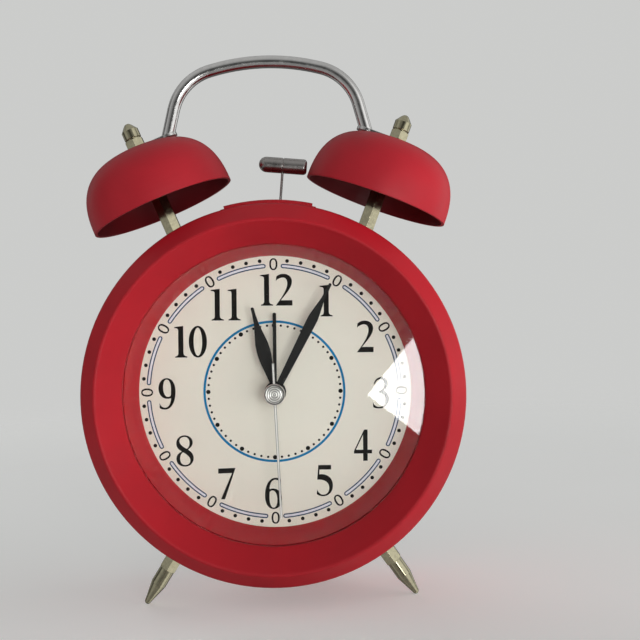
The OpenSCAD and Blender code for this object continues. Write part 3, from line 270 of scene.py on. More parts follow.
def feed(tree, socket, value):
    """Links an output to an input, or sets the input's own value."""
    if isinstance(value, bpy.types.NodeSocket):
        tree.links.new(value, socket)
    else:
        socket.default_value = value


def maths(tree, operation, first, second=0.0, clamp=False):
    """Output of a math node."""
    node = add_node(tree, "ShaderNodeMath", {0: first, 1: second}, operation=operation)
    node.use_clamp = clamp
    return node.outputs[0]


def spread(tree, value, low, high, to_low, to_high):
    """Output of a map range node."""
    feeds = {"Value": value, "From Min": low, "From Max": high, "To Min": to_low,
             "To Max": to_high}
    return add_node(tree, "ShaderNodeMapRange", feeds).outputs["Result"]


def blend(tree, factor, first, second):
    """Colour between two colours."""
    node = add_node(tree, "ShaderNodeMix", data_type="RGBA")
    feed(tree, node.inputs["Factor"], factor)
    for socket, value in ((node.inputs[6], first), (node.inputs[7], second)):
        feed(tree, socket, value if isinstance(value, bpy.types.NodeSocket) else (*value, 1.0))
    return node.outputs[2]


def scaled(rgb, factor):
    """A colour made lighter or darker."""
    return tuple(min(1.0, channel * factor) for channel in rgb)


def new_group(name, inputs, outputs):
    """Empty shader node group with its sockets, and its input and output nodes."""
    tree = bpy.data.node_groups.new(name, "ShaderNodeTree")
    for label, default in inputs:
        socket = tree.interface.new_socket(label, in_out="INPUT", socket_type="NodeSocketFloat")
        socket.default_value = default
    for label, kind in outputs:
        tree.interface.new_socket(label, in_out="OUTPUT", socket_type=kind)
    return tree, tree.nodes.new("NodeGroupInput"), tree.nodes.new("NodeGroupOutput")


def object_place(tree):
    """Object coordinates."""
    return tree.nodes.new("ShaderNodeTexCoord").outputs["Object"]


def grain_group():
    """Fine moulded or sprayed grain, and broad mottling."""
    tree, given, result = new_group(
        "surface_grain", (("Grain Scale", 2200.0), ("Mottle Scale", 45.0)),
        (("Height", "NodeSocketFloat"), ("Mottle", "NodeSocketFloat")))
    place = object_place(tree)
    fine = add_node(tree, "ShaderNodeTexNoise", {
        "Vector": place, "Scale": given.outputs["Grain Scale"], "Detail": 2.0,
        "Roughness": 0.6})
    broad = add_node(tree, "ShaderNodeTexNoise", {
        "Vector": place, "Scale": given.outputs["Mottle Scale"], "Detail": 4.0,
        "Roughness": 0.55, "Distortion": 0.5})
    feed(tree, result.inputs["Height"], fine.outputs["Fac"])
    feed(tree, result.inputs["Mottle"],
         spread(tree, broad.outputs["Fac"], 0.3, 0.7, 0.0, 1.0))
    return tree


def edge_group():
    """Softened edges, and a broken mask along them where the finish is rubbed."""
    tree, given, result = new_group(
        "rubbed_edge", (("Radius", 0.0003), ("Break Scale", 260.0)),
        (("Mask", "NodeSocketFloat"), ("Normal", "NodeSocketVector")))
    soft = add_node(tree, "ShaderNodeBevel", {"Radius": given.outputs["Radius"]}, samples=4)
    flat = tree.nodes.new("ShaderNodeNewGeometry").outputs["Normal"]
    along = add_node(tree, "ShaderNodeVectorMath", {0: soft.outputs[0], 1: flat},
                     operation="DOT_PRODUCT").outputs["Value"]
    bent = spread(tree, along, 0.995, 0.86, 0.0, 1.0)
    patches = add_node(tree, "ShaderNodeTexNoise", {
        "Vector": object_place(tree), "Scale": given.outputs["Break Scale"], "Detail": 5.0,
        "Roughness": 0.7})
    broken = spread(tree, patches.outputs["Fac"], 0.42, 0.62, 0.0, 1.0)
    feed(tree, result.inputs["Mask"], maths(tree, "MULTIPLY", bent, broken, clamp=True))
    feed(tree, result.inputs["Normal"], soft.outputs[0])
    return tree


def smudge_group():
    """Patches where hands have dulled a polish."""
    tree, given, result = new_group(
        "hand_smudge", (("Scale", 70.0),), (("Mask", "NodeSocketFloat"),))
    cloud = add_node(tree, "ShaderNodeTexNoise", {
        "Vector": object_place(tree), "Scale": given.outputs["Scale"], "Detail": 7.0,
        "Roughness": 0.62, "Distortion": 1.4})
    feed(tree, result.inputs["Mask"],
         spread(tree, cloud.outputs["Fac"], 0.4, 0.68, 0.0, 1.0))
    return tree


def lathe_group():
    """Fine tool lines across a turned surface, from the distance along or out from its axis."""
    tree, given, result = new_group(
        "lathe_lines", (("Distance", 0.0), ("Scale", 9000.0)), (("Height", "NodeSocketFloat"),))
    lines = add_node(tree, "ShaderNodeTexNoise", noise_dimensions="1D", feeds={
        "W": given.outputs["Distance"], "Scale": given.outputs["Scale"], "Detail": 1.0})
    feed(tree, result.inputs["Height"], lines.outputs["Fac"])
    return tree


GROUP_MAKERS = {
    "surface_grain": grain_group, "rubbed_edge": edge_group,
    "hand_smudge": smudge_group, "lathe_lines": lathe_group,
}


def use_group(tree, name, feeds):
    """Places a shared group in a material, making it the first time."""
    group = bpy.data.node_groups.get(name) or GROUP_MAKERS[name]()
    node = tree.nodes.new("ShaderNodeGroup")
    node.node_tree = group
    for key, value in feeds.items():
        feed(tree, node.inputs[key], value)
    return node.outputs


def new_material(name):
    """Material with a bare Principled shader."""
    material = bpy.data.materials.new(name)
    material.use_nodes = True
    tree = material.node_tree
    tree.nodes.clear()
    shader = tree.nodes.new("ShaderNodeBsdfPrincipled")
    output = tree.nodes.new("ShaderNodeOutputMaterial")
    tree.links.new(shader.outputs[0], output.inputs["Surface"])
    return material, tree, shader


def finish_of(name, rgb, roughness, metallic=0.0, grain=2200.0, bump=0.05, mottle=45.0,
              tone=0.08, vary=0.06, edge=0.0003, rub=1.25, smudge=None, height=None,
              shade=None, **plain):
    """Material with grain, mottling, rubbed edges, and any smudges, tool lines and painted shade."""
    material, tree, shader = new_material(name)
    shader.inputs["Metallic"].default_value = metallic
    for key, value in plain.items():
        shader.inputs[key.replace("_", " ")].default_value = value
    skin = use_group(tree, "surface_grain", {"Grain Scale": grain, "Mottle Scale": mottle})
    worn = use_group(tree, "rubbed_edge", {"Radius": edge})
    toned = blend(tree, skin["Mottle"], scaled(rgb, 1 - tone), scaled(rgb, 1 + tone))
    shown = blend(tree, worn["Mask"], toned, scaled(rgb, rub))
    # Painted shade: where the shade mask is set, the colour darkens to stand in for shade
    if shade:
        shown = blend(tree, shade(tree), shown, scaled(rgb, SHADE_SHARE))
    feed(tree, shader.inputs["Base Color"], shown)
    rough = spread(tree, skin["Mottle"], 0.0, 1.0, roughness - vary, roughness + vary)
    if smudge:
        dulled = use_group(tree, "hand_smudge", {"Scale": smudge})["Mask"]
        rough = maths(tree, "ADD", rough, maths(tree, "MULTIPLY", dulled, 2.0 * vary))
    feed(tree, shader.inputs["Roughness"], rough)
    relief = add_node(tree, "ShaderNodeBump", {
        "Strength": bump, "Distance": 0.05 * MM,
        "Height": height(tree) if height else skin["Height"], "Normal": worn["Normal"]})
    feed(tree, shader.inputs["Normal"], relief.outputs["Normal"])
    return material


def print_ink(name, rgb):
    """Flat ink with a little unevenness and hardly any sheen."""
    return finish_of(name, rgb, 0.6, grain=5000.0, bump=0.03, Specular_IOR_Level=0.08)


def clear_plastic(name):
    """Clear lens that lets the lamps through to the dial."""
    material, tree, shader = new_material(name)
    shader.inputs["Transmission Weight"].default_value = 1.0
    shader.inputs["IOR"].default_value = 1.49
    smudged = use_group(tree, "hand_smudge", {"Scale": 35.0})["Mask"]
    feed(tree, shader.inputs["Roughness"], spread(tree, smudged, 0.0, 1.0, 0.0, 0.035))
    shader.inputs["Base Color"].default_value = (0.985, 0.99, 0.985, 1.0)
    clear = tree.nodes.new("ShaderNodeBsdfTransparent")
    clear.inputs["Color"].default_value = (0.93, 0.94, 0.93, 1.0)
    path = tree.nodes.new("ShaderNodeLightPath")
    mixed = add_node(tree, "ShaderNodeMixShader", {
        0: path.outputs["Is Shadow Ray"], 1: shader.outputs[0], 2: clear.outputs[0]})
    output = next(n for n in tree.nodes if n.type == "OUTPUT_MATERIAL")
    tree.links.new(mixed.outputs[0], output.inputs["Surface"])
    return material


def turned_cap(name, rgb):
    """Bright turned metal with painted shade in the grooves of its rings and inside its rim."""
    material, tree, shader = new_material(name)
    shader.inputs["Metallic"].default_value = 1.0
    out = distance_from_axis(tree)
    low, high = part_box("second_cap")
    face_r = (high.x - low.x) / 2 - CAP_RIM
    pitch = face_r / CAP_RINGS
    groove_begins, groove_full = 0.25 * pitch, 0.42 * pitch
    from_crest = maths(tree, "PINGPONG", out, pitch / 2)
    in_ring = spread(tree, from_crest, groove_begins, groove_full, 0.0, 0.9)
    rim_groove_r = face_r + 0.12 * MM
    from_rim = maths(tree, "ABSOLUTE", maths(tree, "SUBTRACT", out, rim_groove_r))
    in_rim = spread(tree, from_rim, 0.2 * MM, 0.08 * MM, 0.0, 1.0)
    groove = maths(tree, "MAXIMUM", in_ring, in_rim, clamp=True)
    # Painted shade in the grooves of the rings and the rim; the grooves are also rougher
    feed(tree, shader.inputs["Base Color"], blend(tree, groove, rgb, scaled(rgb, 0.2)))
    feed(tree, shader.inputs["Roughness"], spread(tree, groove, 0.0, 1.0, 0.42, 0.55))
    lines = use_group(tree, "lathe_lines", {"Distance": out, "Scale": 7000.0})["Height"]
    relief = add_node(tree, "ShaderNodeBump", {
        "Strength": 0.1, "Distance": 0.05 * MM, "Height": lines})
    feed(tree, shader.inputs["Normal"], relief.outputs["Normal"])
    return material


def distance_from_axis(tree):
    """Distance from the dial axis."""
    centred = add_node(tree, "ShaderNodeVectorMath", {0: object_place(tree), 1: DIAL_CENTRE},
                       operation="SUBTRACT").outputs[0]
    flat = add_node(tree, "ShaderNodeVectorMath", {0: centred, 1: (1.0, 0.0, 1.0)},
                    operation="MULTIPLY").outputs[0]
    return add_node(tree, "ShaderNodeVectorMath", {0: flat}, operation="LENGTH").outputs["Value"]


def rings_along_head(tree):
    """Tool lines round the hammer head, along its length."""
    low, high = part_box("hammer_head")
    lean = math.atan2(high.z - low.z - HEAD_D, high.x - low.x)
    turned = add_node(tree, "ShaderNodeMapping", {
        "Vector": object_place(tree), "Rotation": (0.0, lean, 0.0)})
    split = add_node(tree, "ShaderNodeSeparateXYZ", {0: turned.outputs[0]})
    return use_group(tree, "lathe_lines", {"Distance": split.outputs["X"]})["Height"]


def painted_shade_inside(name):
    """Mask for painted shade on a hollow piece's inner face, which looks towards the piece's middle.
    """
    low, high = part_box(name)

    def mask(tree):
        place = tree.nodes.new("ShaderNodeTexCoord").outputs
        outward = add_node(tree, "ShaderNodeVectorMath", {
            0: place["Object"], 1: (low + high) / 2}, operation="SUBTRACT").outputs[0]
        faced = add_node(tree, "ShaderNodeVectorMath", {0: place["Normal"], 1: outward},
                         operation="DOT_PRODUCT").outputs["Value"]
        return maths(tree, "LESS_THAN", faced, 0.0)
    return mask


def painted_shade_hand_sides(tree):
    """Mask of painted shade along the two edges of the second hand."""
    split = add_node(tree, "ShaderNodeSeparateXYZ", {0: object_place(tree)}).outputs
    down = maths(tree, "SUBTRACT", AXIS_Z, split["Z"])
    across = maths(tree, "SUBTRACT", split["X"],
                   maths(tree, "MULTIPLY", down, math.tan(SECOND_LEAN)))
    return spread(tree, maths(tree, "ABSOLUTE", across), *HAND_SHADE_EDGE, 0.0, 1.0)


def dress(material, *nodes):
    """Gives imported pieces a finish."""
    for name in nodes:
        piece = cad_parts[name]
        if not piece.material_slots:
            piece.data.materials.append(material)
        for slot in piece.material_slots:
            slot.material = material


# Mesh helpers

def new_piece(name, mesh, material):
    """Finished piece that rides with the case."""
    mesh.name = name
    mesh.materials.clear()
    mesh.materials.append(material)
    piece = bpy.data.objects.new(name, mesh)
    bpy.context.scene.collection.objects.link(piece)
    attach(piece, CLOCK_BODY)
    return piece


def band(outer, inner, thickness):
    """Flat closed plate between two outlines of x and z, or inside one, proud of y = 0."""
    shape = bmesh.new()
    loops = [
        [[shape.verts.new((x, y, z)) for x, z in line] for y in (0.0, -thickness)]
        for line in (outer, inner) if line
    ]
    count = len(outer)
    for k in range(count):
        after = (k + 1) % count
        for back, front in loops:
            shape.faces.new((back[k], back[after], front[after], front[k]))
        if inner:
            for side in (0, 1):
                rim, hole = loops[0][side], loops[1][side]
                shape.faces.new((rim[k], rim[after], hole[after], hole[k]))
    if not inner:
        for side in loops[0]:
            shape.faces.new(side)
    bmesh.ops.recalc_face_normals(shape, faces=shape.faces)
    mesh = bpy.data.meshes.new("plate")
    shape.to_mesh(mesh)
    shape.free()
    return mesh


def oval(half_w, half_h, count, power=2.0):
    """Points round an oval, squarer with a higher power."""
    points = []
    for k in range(count):
        turn = 2 * math.pi * k / count
        c, s = math.cos(turn), math.sin(turn)
        points.append((
            half_w * math.copysign(abs(c) ** (2 / power), c),
            half_h * math.copysign(abs(s) ** (2 / power), s)))
    return points


def curved_bar(radius, half_w, start, end, inset):
    """Outline of a bar with round ends that bends round the axis, pulled in by an inset."""
    half = half_w - inset
    end_turn = half_w / radius
    first, last = start + end_turn, end - end_turn
    steps = 24
    points = []
    for k in range(steps + 1):
        turn = first + (last - first) * k / steps
        points.append(((radius + half) * math.sin(turn), (radius + half) * math.cos(turn)))
    points += round_end(radius, half, last, 1)
    for k in range(steps + 1):
        turn = last + (first - last) * k / steps
        points.append(((radius - half) * math.sin(turn), (radius - half) * math.cos(turn)))
    points += round_end(radius, half, first, -1)
    return points


def round_end(radius, half, turn, side):
    """Half circle that closes a bar's end."""
    steps = 8
    points = []
    for k in range(1, steps):
        swing = math.pi * k / steps
        out = radius + half * math.cos(swing) * side
        along = half * math.sin(swing) * side
        points.append((
            out * math.sin(turn) + along * math.cos(turn),
            out * math.cos(turn) - along * math.sin(turn)))
    return points


def numeral_contours(text):
    """Closed outlines of one numeral as points with their two handles."""
    words = text.split()
    contours, at = [], 0
    while at < len(words):
        step, at = words[at], at + 1
        if step == "Z":
            points = contours[-1]
            if (points[-1][1] - points[0][1]).length < 1e-6:
                points[0][0] = points[-1][0]
                points.pop()
            else:
                join(points[-1], points[0])
            continue
        size = 6 if step == "C" else 2
        numbers = [float(word) for word in words[at:at + size]]
        at += size
        ends = [Vector((numbers[k], numbers[k + 1], 0.0)) for k in range(0, size, 2)]
        new = [ends[-1].copy(), ends[-1], ends[-1].copy()]
        if step == "M":
            contours.append([])
        elif step == "L":
            join(contours[-1][-1], new)
        else:
            contours[-1][-1][2], new[0] = ends[0], ends[1]
        contours[-1].append(new)
    return contours


def join(first, second):
    """Handles for a straight line between two points."""
    first[2] = first[1].lerp(second[1], 1 / 3)
    second[0] = second[1].lerp(first[1], 1 / 3)


def numeral_mesh(text, height, thickness):
    """Plate in the shape of a numeral, standing upright and centred on the origin."""
    line = bpy.data.curves.new("numeral", "CURVE")
    line.dimensions = "2D"
    line.fill_mode = "BOTH"
    line.resolution_u = 10
    line.extrude = thickness / 2
    right = 0.0
    for digit in text:
        turned = digit == "6"
        contours = numeral_contours(NUMERALS["9" if turned else digit])
        width = max(point[1].x for points in contours for point in points)
        for points in contours:
            spline = line.splines.new("BEZIER")
            spline.bezier_points.add(len(points) - 1)
            spline.use_cyclic_u = True
            for knot, (before, place, after) in zip(spline.bezier_points, points):
                knot.handle_left_type = knot.handle_right_type = "FREE"
                for key, spot in (("handle_left", before), ("co", place), ("handle_right", after)):
                    spot = Vector((width, 1.0, 0.0)) - spot if turned else spot
                    setattr(knot, key, (spot + Vector((right, 0.0, 0.0))) * height)
        right += width + DIGIT_GAPS.get(text, 0.0)
    holder = bpy.data.objects.new("numeral", line)
    bpy.context.scene.collection.objects.link(holder)
    mesh = bpy.data.meshes.new_from_object(
        holder.evaluated_get(bpy.context.evaluated_depsgraph_get()))
    bpy.data.objects.remove(holder)
    bpy.data.curves.remove(line)
    xs = [v.co.x for v in mesh.vertices]
    ys = [v.co.y for v in mesh.vertices]
    middle = Vector(((min(xs) + max(xs)) / 2, (min(ys) + max(ys)) / 2, -thickness / 2))
    mesh.transform(Matrix.Rotation(math.pi / 2, 4, "X") @ Matrix.Translation(-middle))
    return mesh


def ring_tree():
    """Geometry tree that sets copies of a mark round the dial axis."""
    tree = bpy.data.node_groups.new("ring_of_marks", "GeometryNodeTree")
    tree.is_modifier = True
    for label, kind in (
            ("Mark", "Geometry"), ("Count", "Int"), ("Radius", "Float"), ("Start", "Float"),
            ("Leave Out", "Int"), ("Centre", "Vector"), ("Ink", "Material")):
        tree.interface.new_socket(label, in_out="INPUT", socket_type="NodeSocket" + kind)
    tree.interface.new_socket("Marks", in_out="OUTPUT", socket_type="NodeSocketGeometry")
    given = tree.nodes.new("NodeGroupInput").outputs
    result = tree.nodes.new("NodeGroupOutput")
    index = tree.nodes.new("GeometryNodeInputIndex").outputs[0]
    share = maths(tree, "DIVIDE", index, given["Count"])
    turn = maths(tree, "ADD", maths(tree, "MULTIPLY", share, 2 * math.pi), given["Start"])
    across = maths(tree, "MULTIPLY", maths(tree, "SINE", turn), given["Radius"])
    up = maths(tree, "MULTIPLY", maths(tree, "COSINE", turn), given["Radius"])
    place = add_node(tree, "ShaderNodeCombineXYZ", {"X": across, "Z": up}).outputs[0]
    points = add_node(tree, "GeometryNodePoints", {
        "Count": given["Count"], "Position": place}).outputs[0]
    lean = add_node(tree, "ShaderNodeCombineXYZ", {"Y": turn}).outputs[0]
    kept = add_node(tree, "GeometryNodeStoreNamedAttribute", {
        "Geometry": points, "Name": "lean", "Value": lean}, data_type="FLOAT_VECTOR")
    each = maths(tree, "MODULO", index, given["Leave Out"])
    first = add_node(tree, "FunctionNodeCompare", data_type="FLOAT", operation="LESS_THAN",
                     feeds={0: each, 1: 0.5}).outputs[0]
    some = add_node(tree, "FunctionNodeCompare", data_type="INT", operation="GREATER_THAN",
                    feeds={2: given["Leave Out"], 3: 0}).outputs[0]
    gone = add_node(tree, "FunctionNodeBooleanMath", {0: first, 1: some}).outputs[0]
    rest = add_node(tree, "GeometryNodeDeleteGeometry", {
        "Geometry": kept.outputs[0], "Selection": gone}).outputs[0]
    named = add_node(tree, "GeometryNodeInputNamedAttribute", {"Name": "lean"},
                     data_type="FLOAT_VECTOR").outputs[0]
    copies = add_node(tree, "GeometryNodeInstanceOnPoints", {
        "Points": rest, "Instance": given["Mark"], "Rotation": named}).outputs[0]
    moved = add_node(tree, "GeometryNodeTransform", {
        "Geometry": copies, "Translation": given["Centre"]}).outputs[0]
    real = add_node(tree, "GeometryNodeRealizeInstances", {"Geometry": moved}).outputs[0]
    inked = add_node(tree, "GeometryNodeSetMaterial", {
        "Geometry": real, "Material": given["Ink"]}).outputs[0]
    tree.links.new(inked, result.inputs[0])
    return tree


def grow(tree, mesh, **values):
    """Plain mesh that a geometry tree makes from a mesh and its named inputs."""
    holder = bpy.data.objects.new(tree.name, mesh)
    bpy.context.scene.collection.objects.link(holder)
    modifier = holder.modifiers.new(tree.name, "NODES")
    modifier.node_group = tree
    for socket in tree.interface.items_tree:
        if socket.name in values:
            modifier[socket.identifier] = values[socket.name]
    made = bpy.data.meshes.new_from_object(
        holder.evaluated_get(bpy.context.evaluated_depsgraph_get()))
    holder.modifiers.clear()
    bpy.data.objects.remove(holder)
    return made


def set_round(name, mark, ink, slot, **values):
    """Piece made of copies of a mark round the dial."""
    tree = bpy.data.node_groups.get("ring_of_marks") or ring_tree()
    sizes = bpy.context.scene.clock_print
    given = {"Radius": 0.0, "Leave Out": 0, "Centre": DIAL_CENTRE + Vector(sizes.shift),
             "Ink": ink, "Start": sizes.turn}
    given.update({key.replace("_", " "): value for key, value in values.items()})
    return new_piece(name, grow(tree, mark, **given), ink)


# Operators

class CLOCK_OT_case(bpy.types.Operator):
    """Moulded red plastic on bezel, drum and spacer ring"""

    bl_idname = "clock.case"
    bl_label = "Case"

    def execute(self, context):
        look = context.scene.clock_colours
        dress(finish_of("case_red", look.case_red, 0.40, bump=0.06, edge=0.0011, rub=1.2,
                        smudge=40.0, Specular_IOR_Level=0.28), "case_shell", "front_bezel")
        dress(finish_of("spacer_red", look.case_red, 0.1, bump=0.01, vary=0.02,
                        Specular_IOR_Level=0.12), "spacer_ring")
        return {"FINISHED"}


class CLOCK_OT_bells(bpy.types.Operator):
    """Matte red paint on the two bells, with painted shade inside them"""

    bl_idname = "clock.bells"
    bl_label = "Bells"

    def execute(self, context):
        look = context.scene.clock_colours
        for bell in ("left_bell", "right_bell"):
            # Painted shade darkens the inner face of each bell
            dress(finish_of(bell + "_red", look.bell_red, 0.48, grain=1500.0, bump=0.08,
                            mottle=60.0, edge=0.0004, rub=1.5, shade=painted_shade_inside(bell),
                            Specular_IOR_Level=0.3), bell)
        return {"FINISHED"}


class CLOCK_OT_metal(bpy.types.Operator):
    """Nickel on posts, finials and feet, chrome on the handle, turned steel on the hammer"""

    bl_idname = "clock.metal"
    bl_label = "Metal"

    def execute(self, context):
        look = context.scene.clock_colours
        dress(finish_of("nickel", look.nickel, 0.12, 1.0, grain=2600.0, bump=0.07, mottle=900.0,
                        tone=0.15, vary=0.04, edge=0.0002, rub=1.3),
              "left_post", "right_post", "post_nuts", "left_finial", "right_finial",
              "left_foot", "right_foot")
        dress(finish_of("handle_chrome", look.chrome, 0.13, 1.0, grain=4000.0, bump=0.03,
                        mottle=500.0, tone=0.08, vary=0.05, smudge=150.0), "handle")
        dress(finish_of("turned_steel", look.steel, 0.27, 1.0, bump=0.06, mottle=300.0, tone=0.1,
                        vary=0.05, edge=0.0003, rub=1.4, height=rings_along_head),
              "hammer_head")
        dress(finish_of("drawn_wire", look.steel, 0.3, 1.0, grain=5000.0, mottle=400.0),
              "hammer_rod", "hammer_pivot_pin")
        return {"FINISHED"}


class CLOCK_OT_hands(bpy.types.Operator):
    """Black lacquer and bright metal on the hands, with painted shade on the second hand and cap"""

    bl_idname = "clock.hands"
    bl_label = "Hands"

    def execute(self, context):
        look = context.scene.clock_colours
        dress(finish_of("hand_black", look.hand_black, 0.45, grain=3500.0, bump=0.05,
                        edge=0.00012, rub=2.2, Specular_IOR_Level=0.15),
              "hour_hand", "minute_hand", "alarm_hand")
        # Painted shade along the second hand's edges, and in the grooves of its cap
        dress(finish_of("hand_bright", scaled(look.bright, 1.25), 0.38, 1.0, grain=4000.0,
                        mottle=150.0, edge=0.0001, shade=painted_shade_hand_sides), "second_hand")
        dress(turned_cap("cap_rings", scaled(look.bright, 1.3)), "second_cap")
        return {"FINISHED"}


class CLOCK_OT_dial(bpy.types.Operator):
    """Clear lens, and off-white paint on the dial"""

    bl_idname = "clock.dial"
    bl_label = "Lens and dial"

    def execute(self, context):
        look = context.scene.clock_colours
        dress(clear_plastic("clear_lens"), "lens")
        dress(finish_of("dial_white", look.paper, 0.55, grain=2600.0, bump=0.03, mottle=30.0,
                        tone=0.015, edge=0.0001, rub=1.0), "dial")
        return {"FINISHED"}


class CLOCK_OT_numerals(bpy.types.Operator):
    """Twelve hour numerals printed on the dial"""

    bl_idname = "clock.numerals"
    bl_label = "Numerals"

    def execute(self, context):
        sizes = context.scene.clock_print
        ink = print_ink("dial_ink", context.scene.clock_colours.ink)
        shape = bmesh.new()
        for text, (degrees, radius) in NUMERAL_PLACES.items():
            mesh = numeral_mesh(text, sizes.numeral_h, sizes.thickness)
            turn = math.radians(degrees)
            mesh.transform(Matrix.Translation(
                Vector((math.sin(turn), 0.0, math.cos(turn))) * radius * MM))
            shape.from_mesh(mesh)
            bpy.data.meshes.remove(mesh)
        mesh = bpy.data.meshes.new("numerals")
        shape.to_mesh(mesh)
        shape.free()
        middle = DIAL_CENTRE + Vector(sizes.shift)
        mesh.transform(Matrix.Translation(middle) @ Matrix.Rotation(sizes.turn, 4, "Y"))
        new_piece("dial_numerals", mesh, ink)
        return {"FINISHED"}


class CLOCK_OT_marks(bpy.types.Operator):
    """Rings of marks, dots and bars printed on the dial"""

    bl_idname = "clock.marks"
    bl_label = "Marks"

    def execute(self, context):
        sizes, look = context.scene.clock_print, context.scene.clock_colours
        deep = sizes.thickness
        ink = bpy.data.materials["dial_ink"]
        ring_ink = print_ink("ring_blue", look.ring_blue)
        bar_ink = print_ink("bar_blue", look.bar_blue)
        bar_fill = print_ink("bar_white", look.bar_white)

        outer = oval(sizes.zero_w / 2, sizes.zero_h / 2, 28, 2.3)
        inner = oval(sizes.zero_w / 2 - ZERO_SIDE, sizes.zero_h / 2 - ZERO_END, 28, 2.3)
        set_round("dial_hour_marks", band(outer, inner, deep), ink, "black_paint",
                  Count=12, Radius=sizes.zero_r)
        set_round("dial_minute_dots", band(oval(sizes.dot_r, sizes.dot_r, 16), None, deep), ink,
                  "black_paint", Count=60, Radius=sizes.dot_ring_r, Leave_Out=5)
        set_round("dial_inner_dots", band(oval(sizes.inner_dot_r, sizes.inner_dot_r, 12), None, deep),
                  ink, "black_paint", Count=60, Radius=sizes.inner_r, Leave_Out=5)
        set_round("dial_inner_hours",
                  band(oval(sizes.inner_hour_r, sizes.inner_hour_r, 18), None, deep),
                  ink, "black_paint", Count=12, Radius=sizes.inner_r)

        span = (sizes.bar_start, sizes.bar_end)
        outer = curved_bar(sizes.bar_r, sizes.bar_w / 2, *span, 0.0)
        inner = curved_bar(sizes.bar_r, sizes.bar_w / 2, *span, sizes.bar_line)
        set_round("dial_bars", band(outer, inner, deep), bar_ink, "dial_white", Count=12)
        set_round("dial_bar_fills", band(inner, None, deep * 0.8), bar_fill, "dial_white", Count=12)

        outer = oval(sizes.ring_r + sizes.ring_w / 2, sizes.ring_r + sizes.ring_w / 2, 160)
        inner = oval(sizes.ring_r - sizes.ring_w / 2, sizes.ring_r - sizes.ring_w / 2, 160)
        ring = band(outer, inner, deep)
        ring.transform(Matrix.Translation(DIAL_CENTRE + Vector(sizes.shift)))
        new_piece("dial_blue_ring", ring, ring_ink)
        return {"FINISHED"}


class CLOCK_OT_back(bpy.types.Operator):
    """Black plastic, rubber and screws on the back"""

    bl_idname = "clock.back"
    bl_label = "Back"

    def execute(self, context):
        look = context.scene.clock_colours
        dress(finish_of("back_black", look.black, 0.55, grain=1400.0, bump=0.25, edge=0.0005,
                        rub=2.0), "back_cover", "battery_cover")
        dress(finish_of("knob_black", look.black, 0.36, grain=2600.0, bump=0.06, edge=0.0004,
                        rub=2.4, smudge=120.0), "time_knob", "alarm_knob")
        dress(finish_of("switch_white", (0.62, 0.61, 0.57), 0.42, edge=0.0003), "alarm_switch")
        dress(finish_of("pad_rubber", (0.018, 0.018, 0.018), 0.85, grain=900.0, bump=0.4,
                        edge=0.0004), "rear_pad")
        dress(finish_of("screw_steel", look.steel, 0.32, 1.0, grain=3500.0, mottle=300.0,
                        edge=0.0002, rub=1.6), "cover_screws", "movement_screws", "bracket_screws")
        return {"FINISHED"}


class CLOCK_OT_movement(bpy.types.Operator):
    """Finishes of the movement, the battery and the hammer drive inside the case"""

    bl_idname = "clock.movement"
    bl_label = "Movement"

    def execute(self, context):
        look = context.scene.clock_colours
        dress(finish_of("movement_black", (0.05, 0.052, 0.058), 0.5, grain=1800.0, bump=0.15,
                        rub=1.8), "movement_plate", "movement_cover", "switch_contact")
        dress(finish_of("gear_white", (0.72, 0.69, 0.61), 0.45, grain=3000.0, edge=0.0001),
              "step_wheel", "third_wheel", "hour_wheel", "motion_wheel", "alarm_wheel",
              "alarm_pinion", "hammer_lever")
        dress(finish_of("gear_brass", (0.56, 0.37, 0.10), 0.28, 1.0, grain=3500.0, mottle=200.0,
                        edge=0.0001, rub=1.4), "second_wheel", "centre_wheel", "cannon_pinion")
        dress(finish_of("plate_steel", look.steel, 0.35, 1.0, grain=2500.0, mottle=120.0,
                        edge=0.0002, rub=1.5), "train_plate", "bell_bracket", "stepper_core",
              "bell_core", "quartz_crystal", "positive_contact", "negative_contact")
        dress(finish_of("magnet_grey", (0.10, 0.10, 0.105), 0.5, 0.6, grain=2500.0, bump=0.2),
              "rotor", "hammer_magnet")
        dress(finish_of("copper_enamel", (0.42, 0.16, 0.05), 0.3, 0.9, grain=2500.0, mottle=300.0),
              "stepper_coil", "bell_coil")
        dress(finish_of("board_green", (0.02, 0.12, 0.05), 0.4, grain=2000.0, mottle=300.0,
                        tone=0.25), "circuit_board")
        dress(finish_of("cell_sleeve", (0.13, 0.17, 0.05), 0.3, grain=2500.0, edge=0.0003,
                        rub=1.6), "battery_cell")
        return {"FINISHED"}


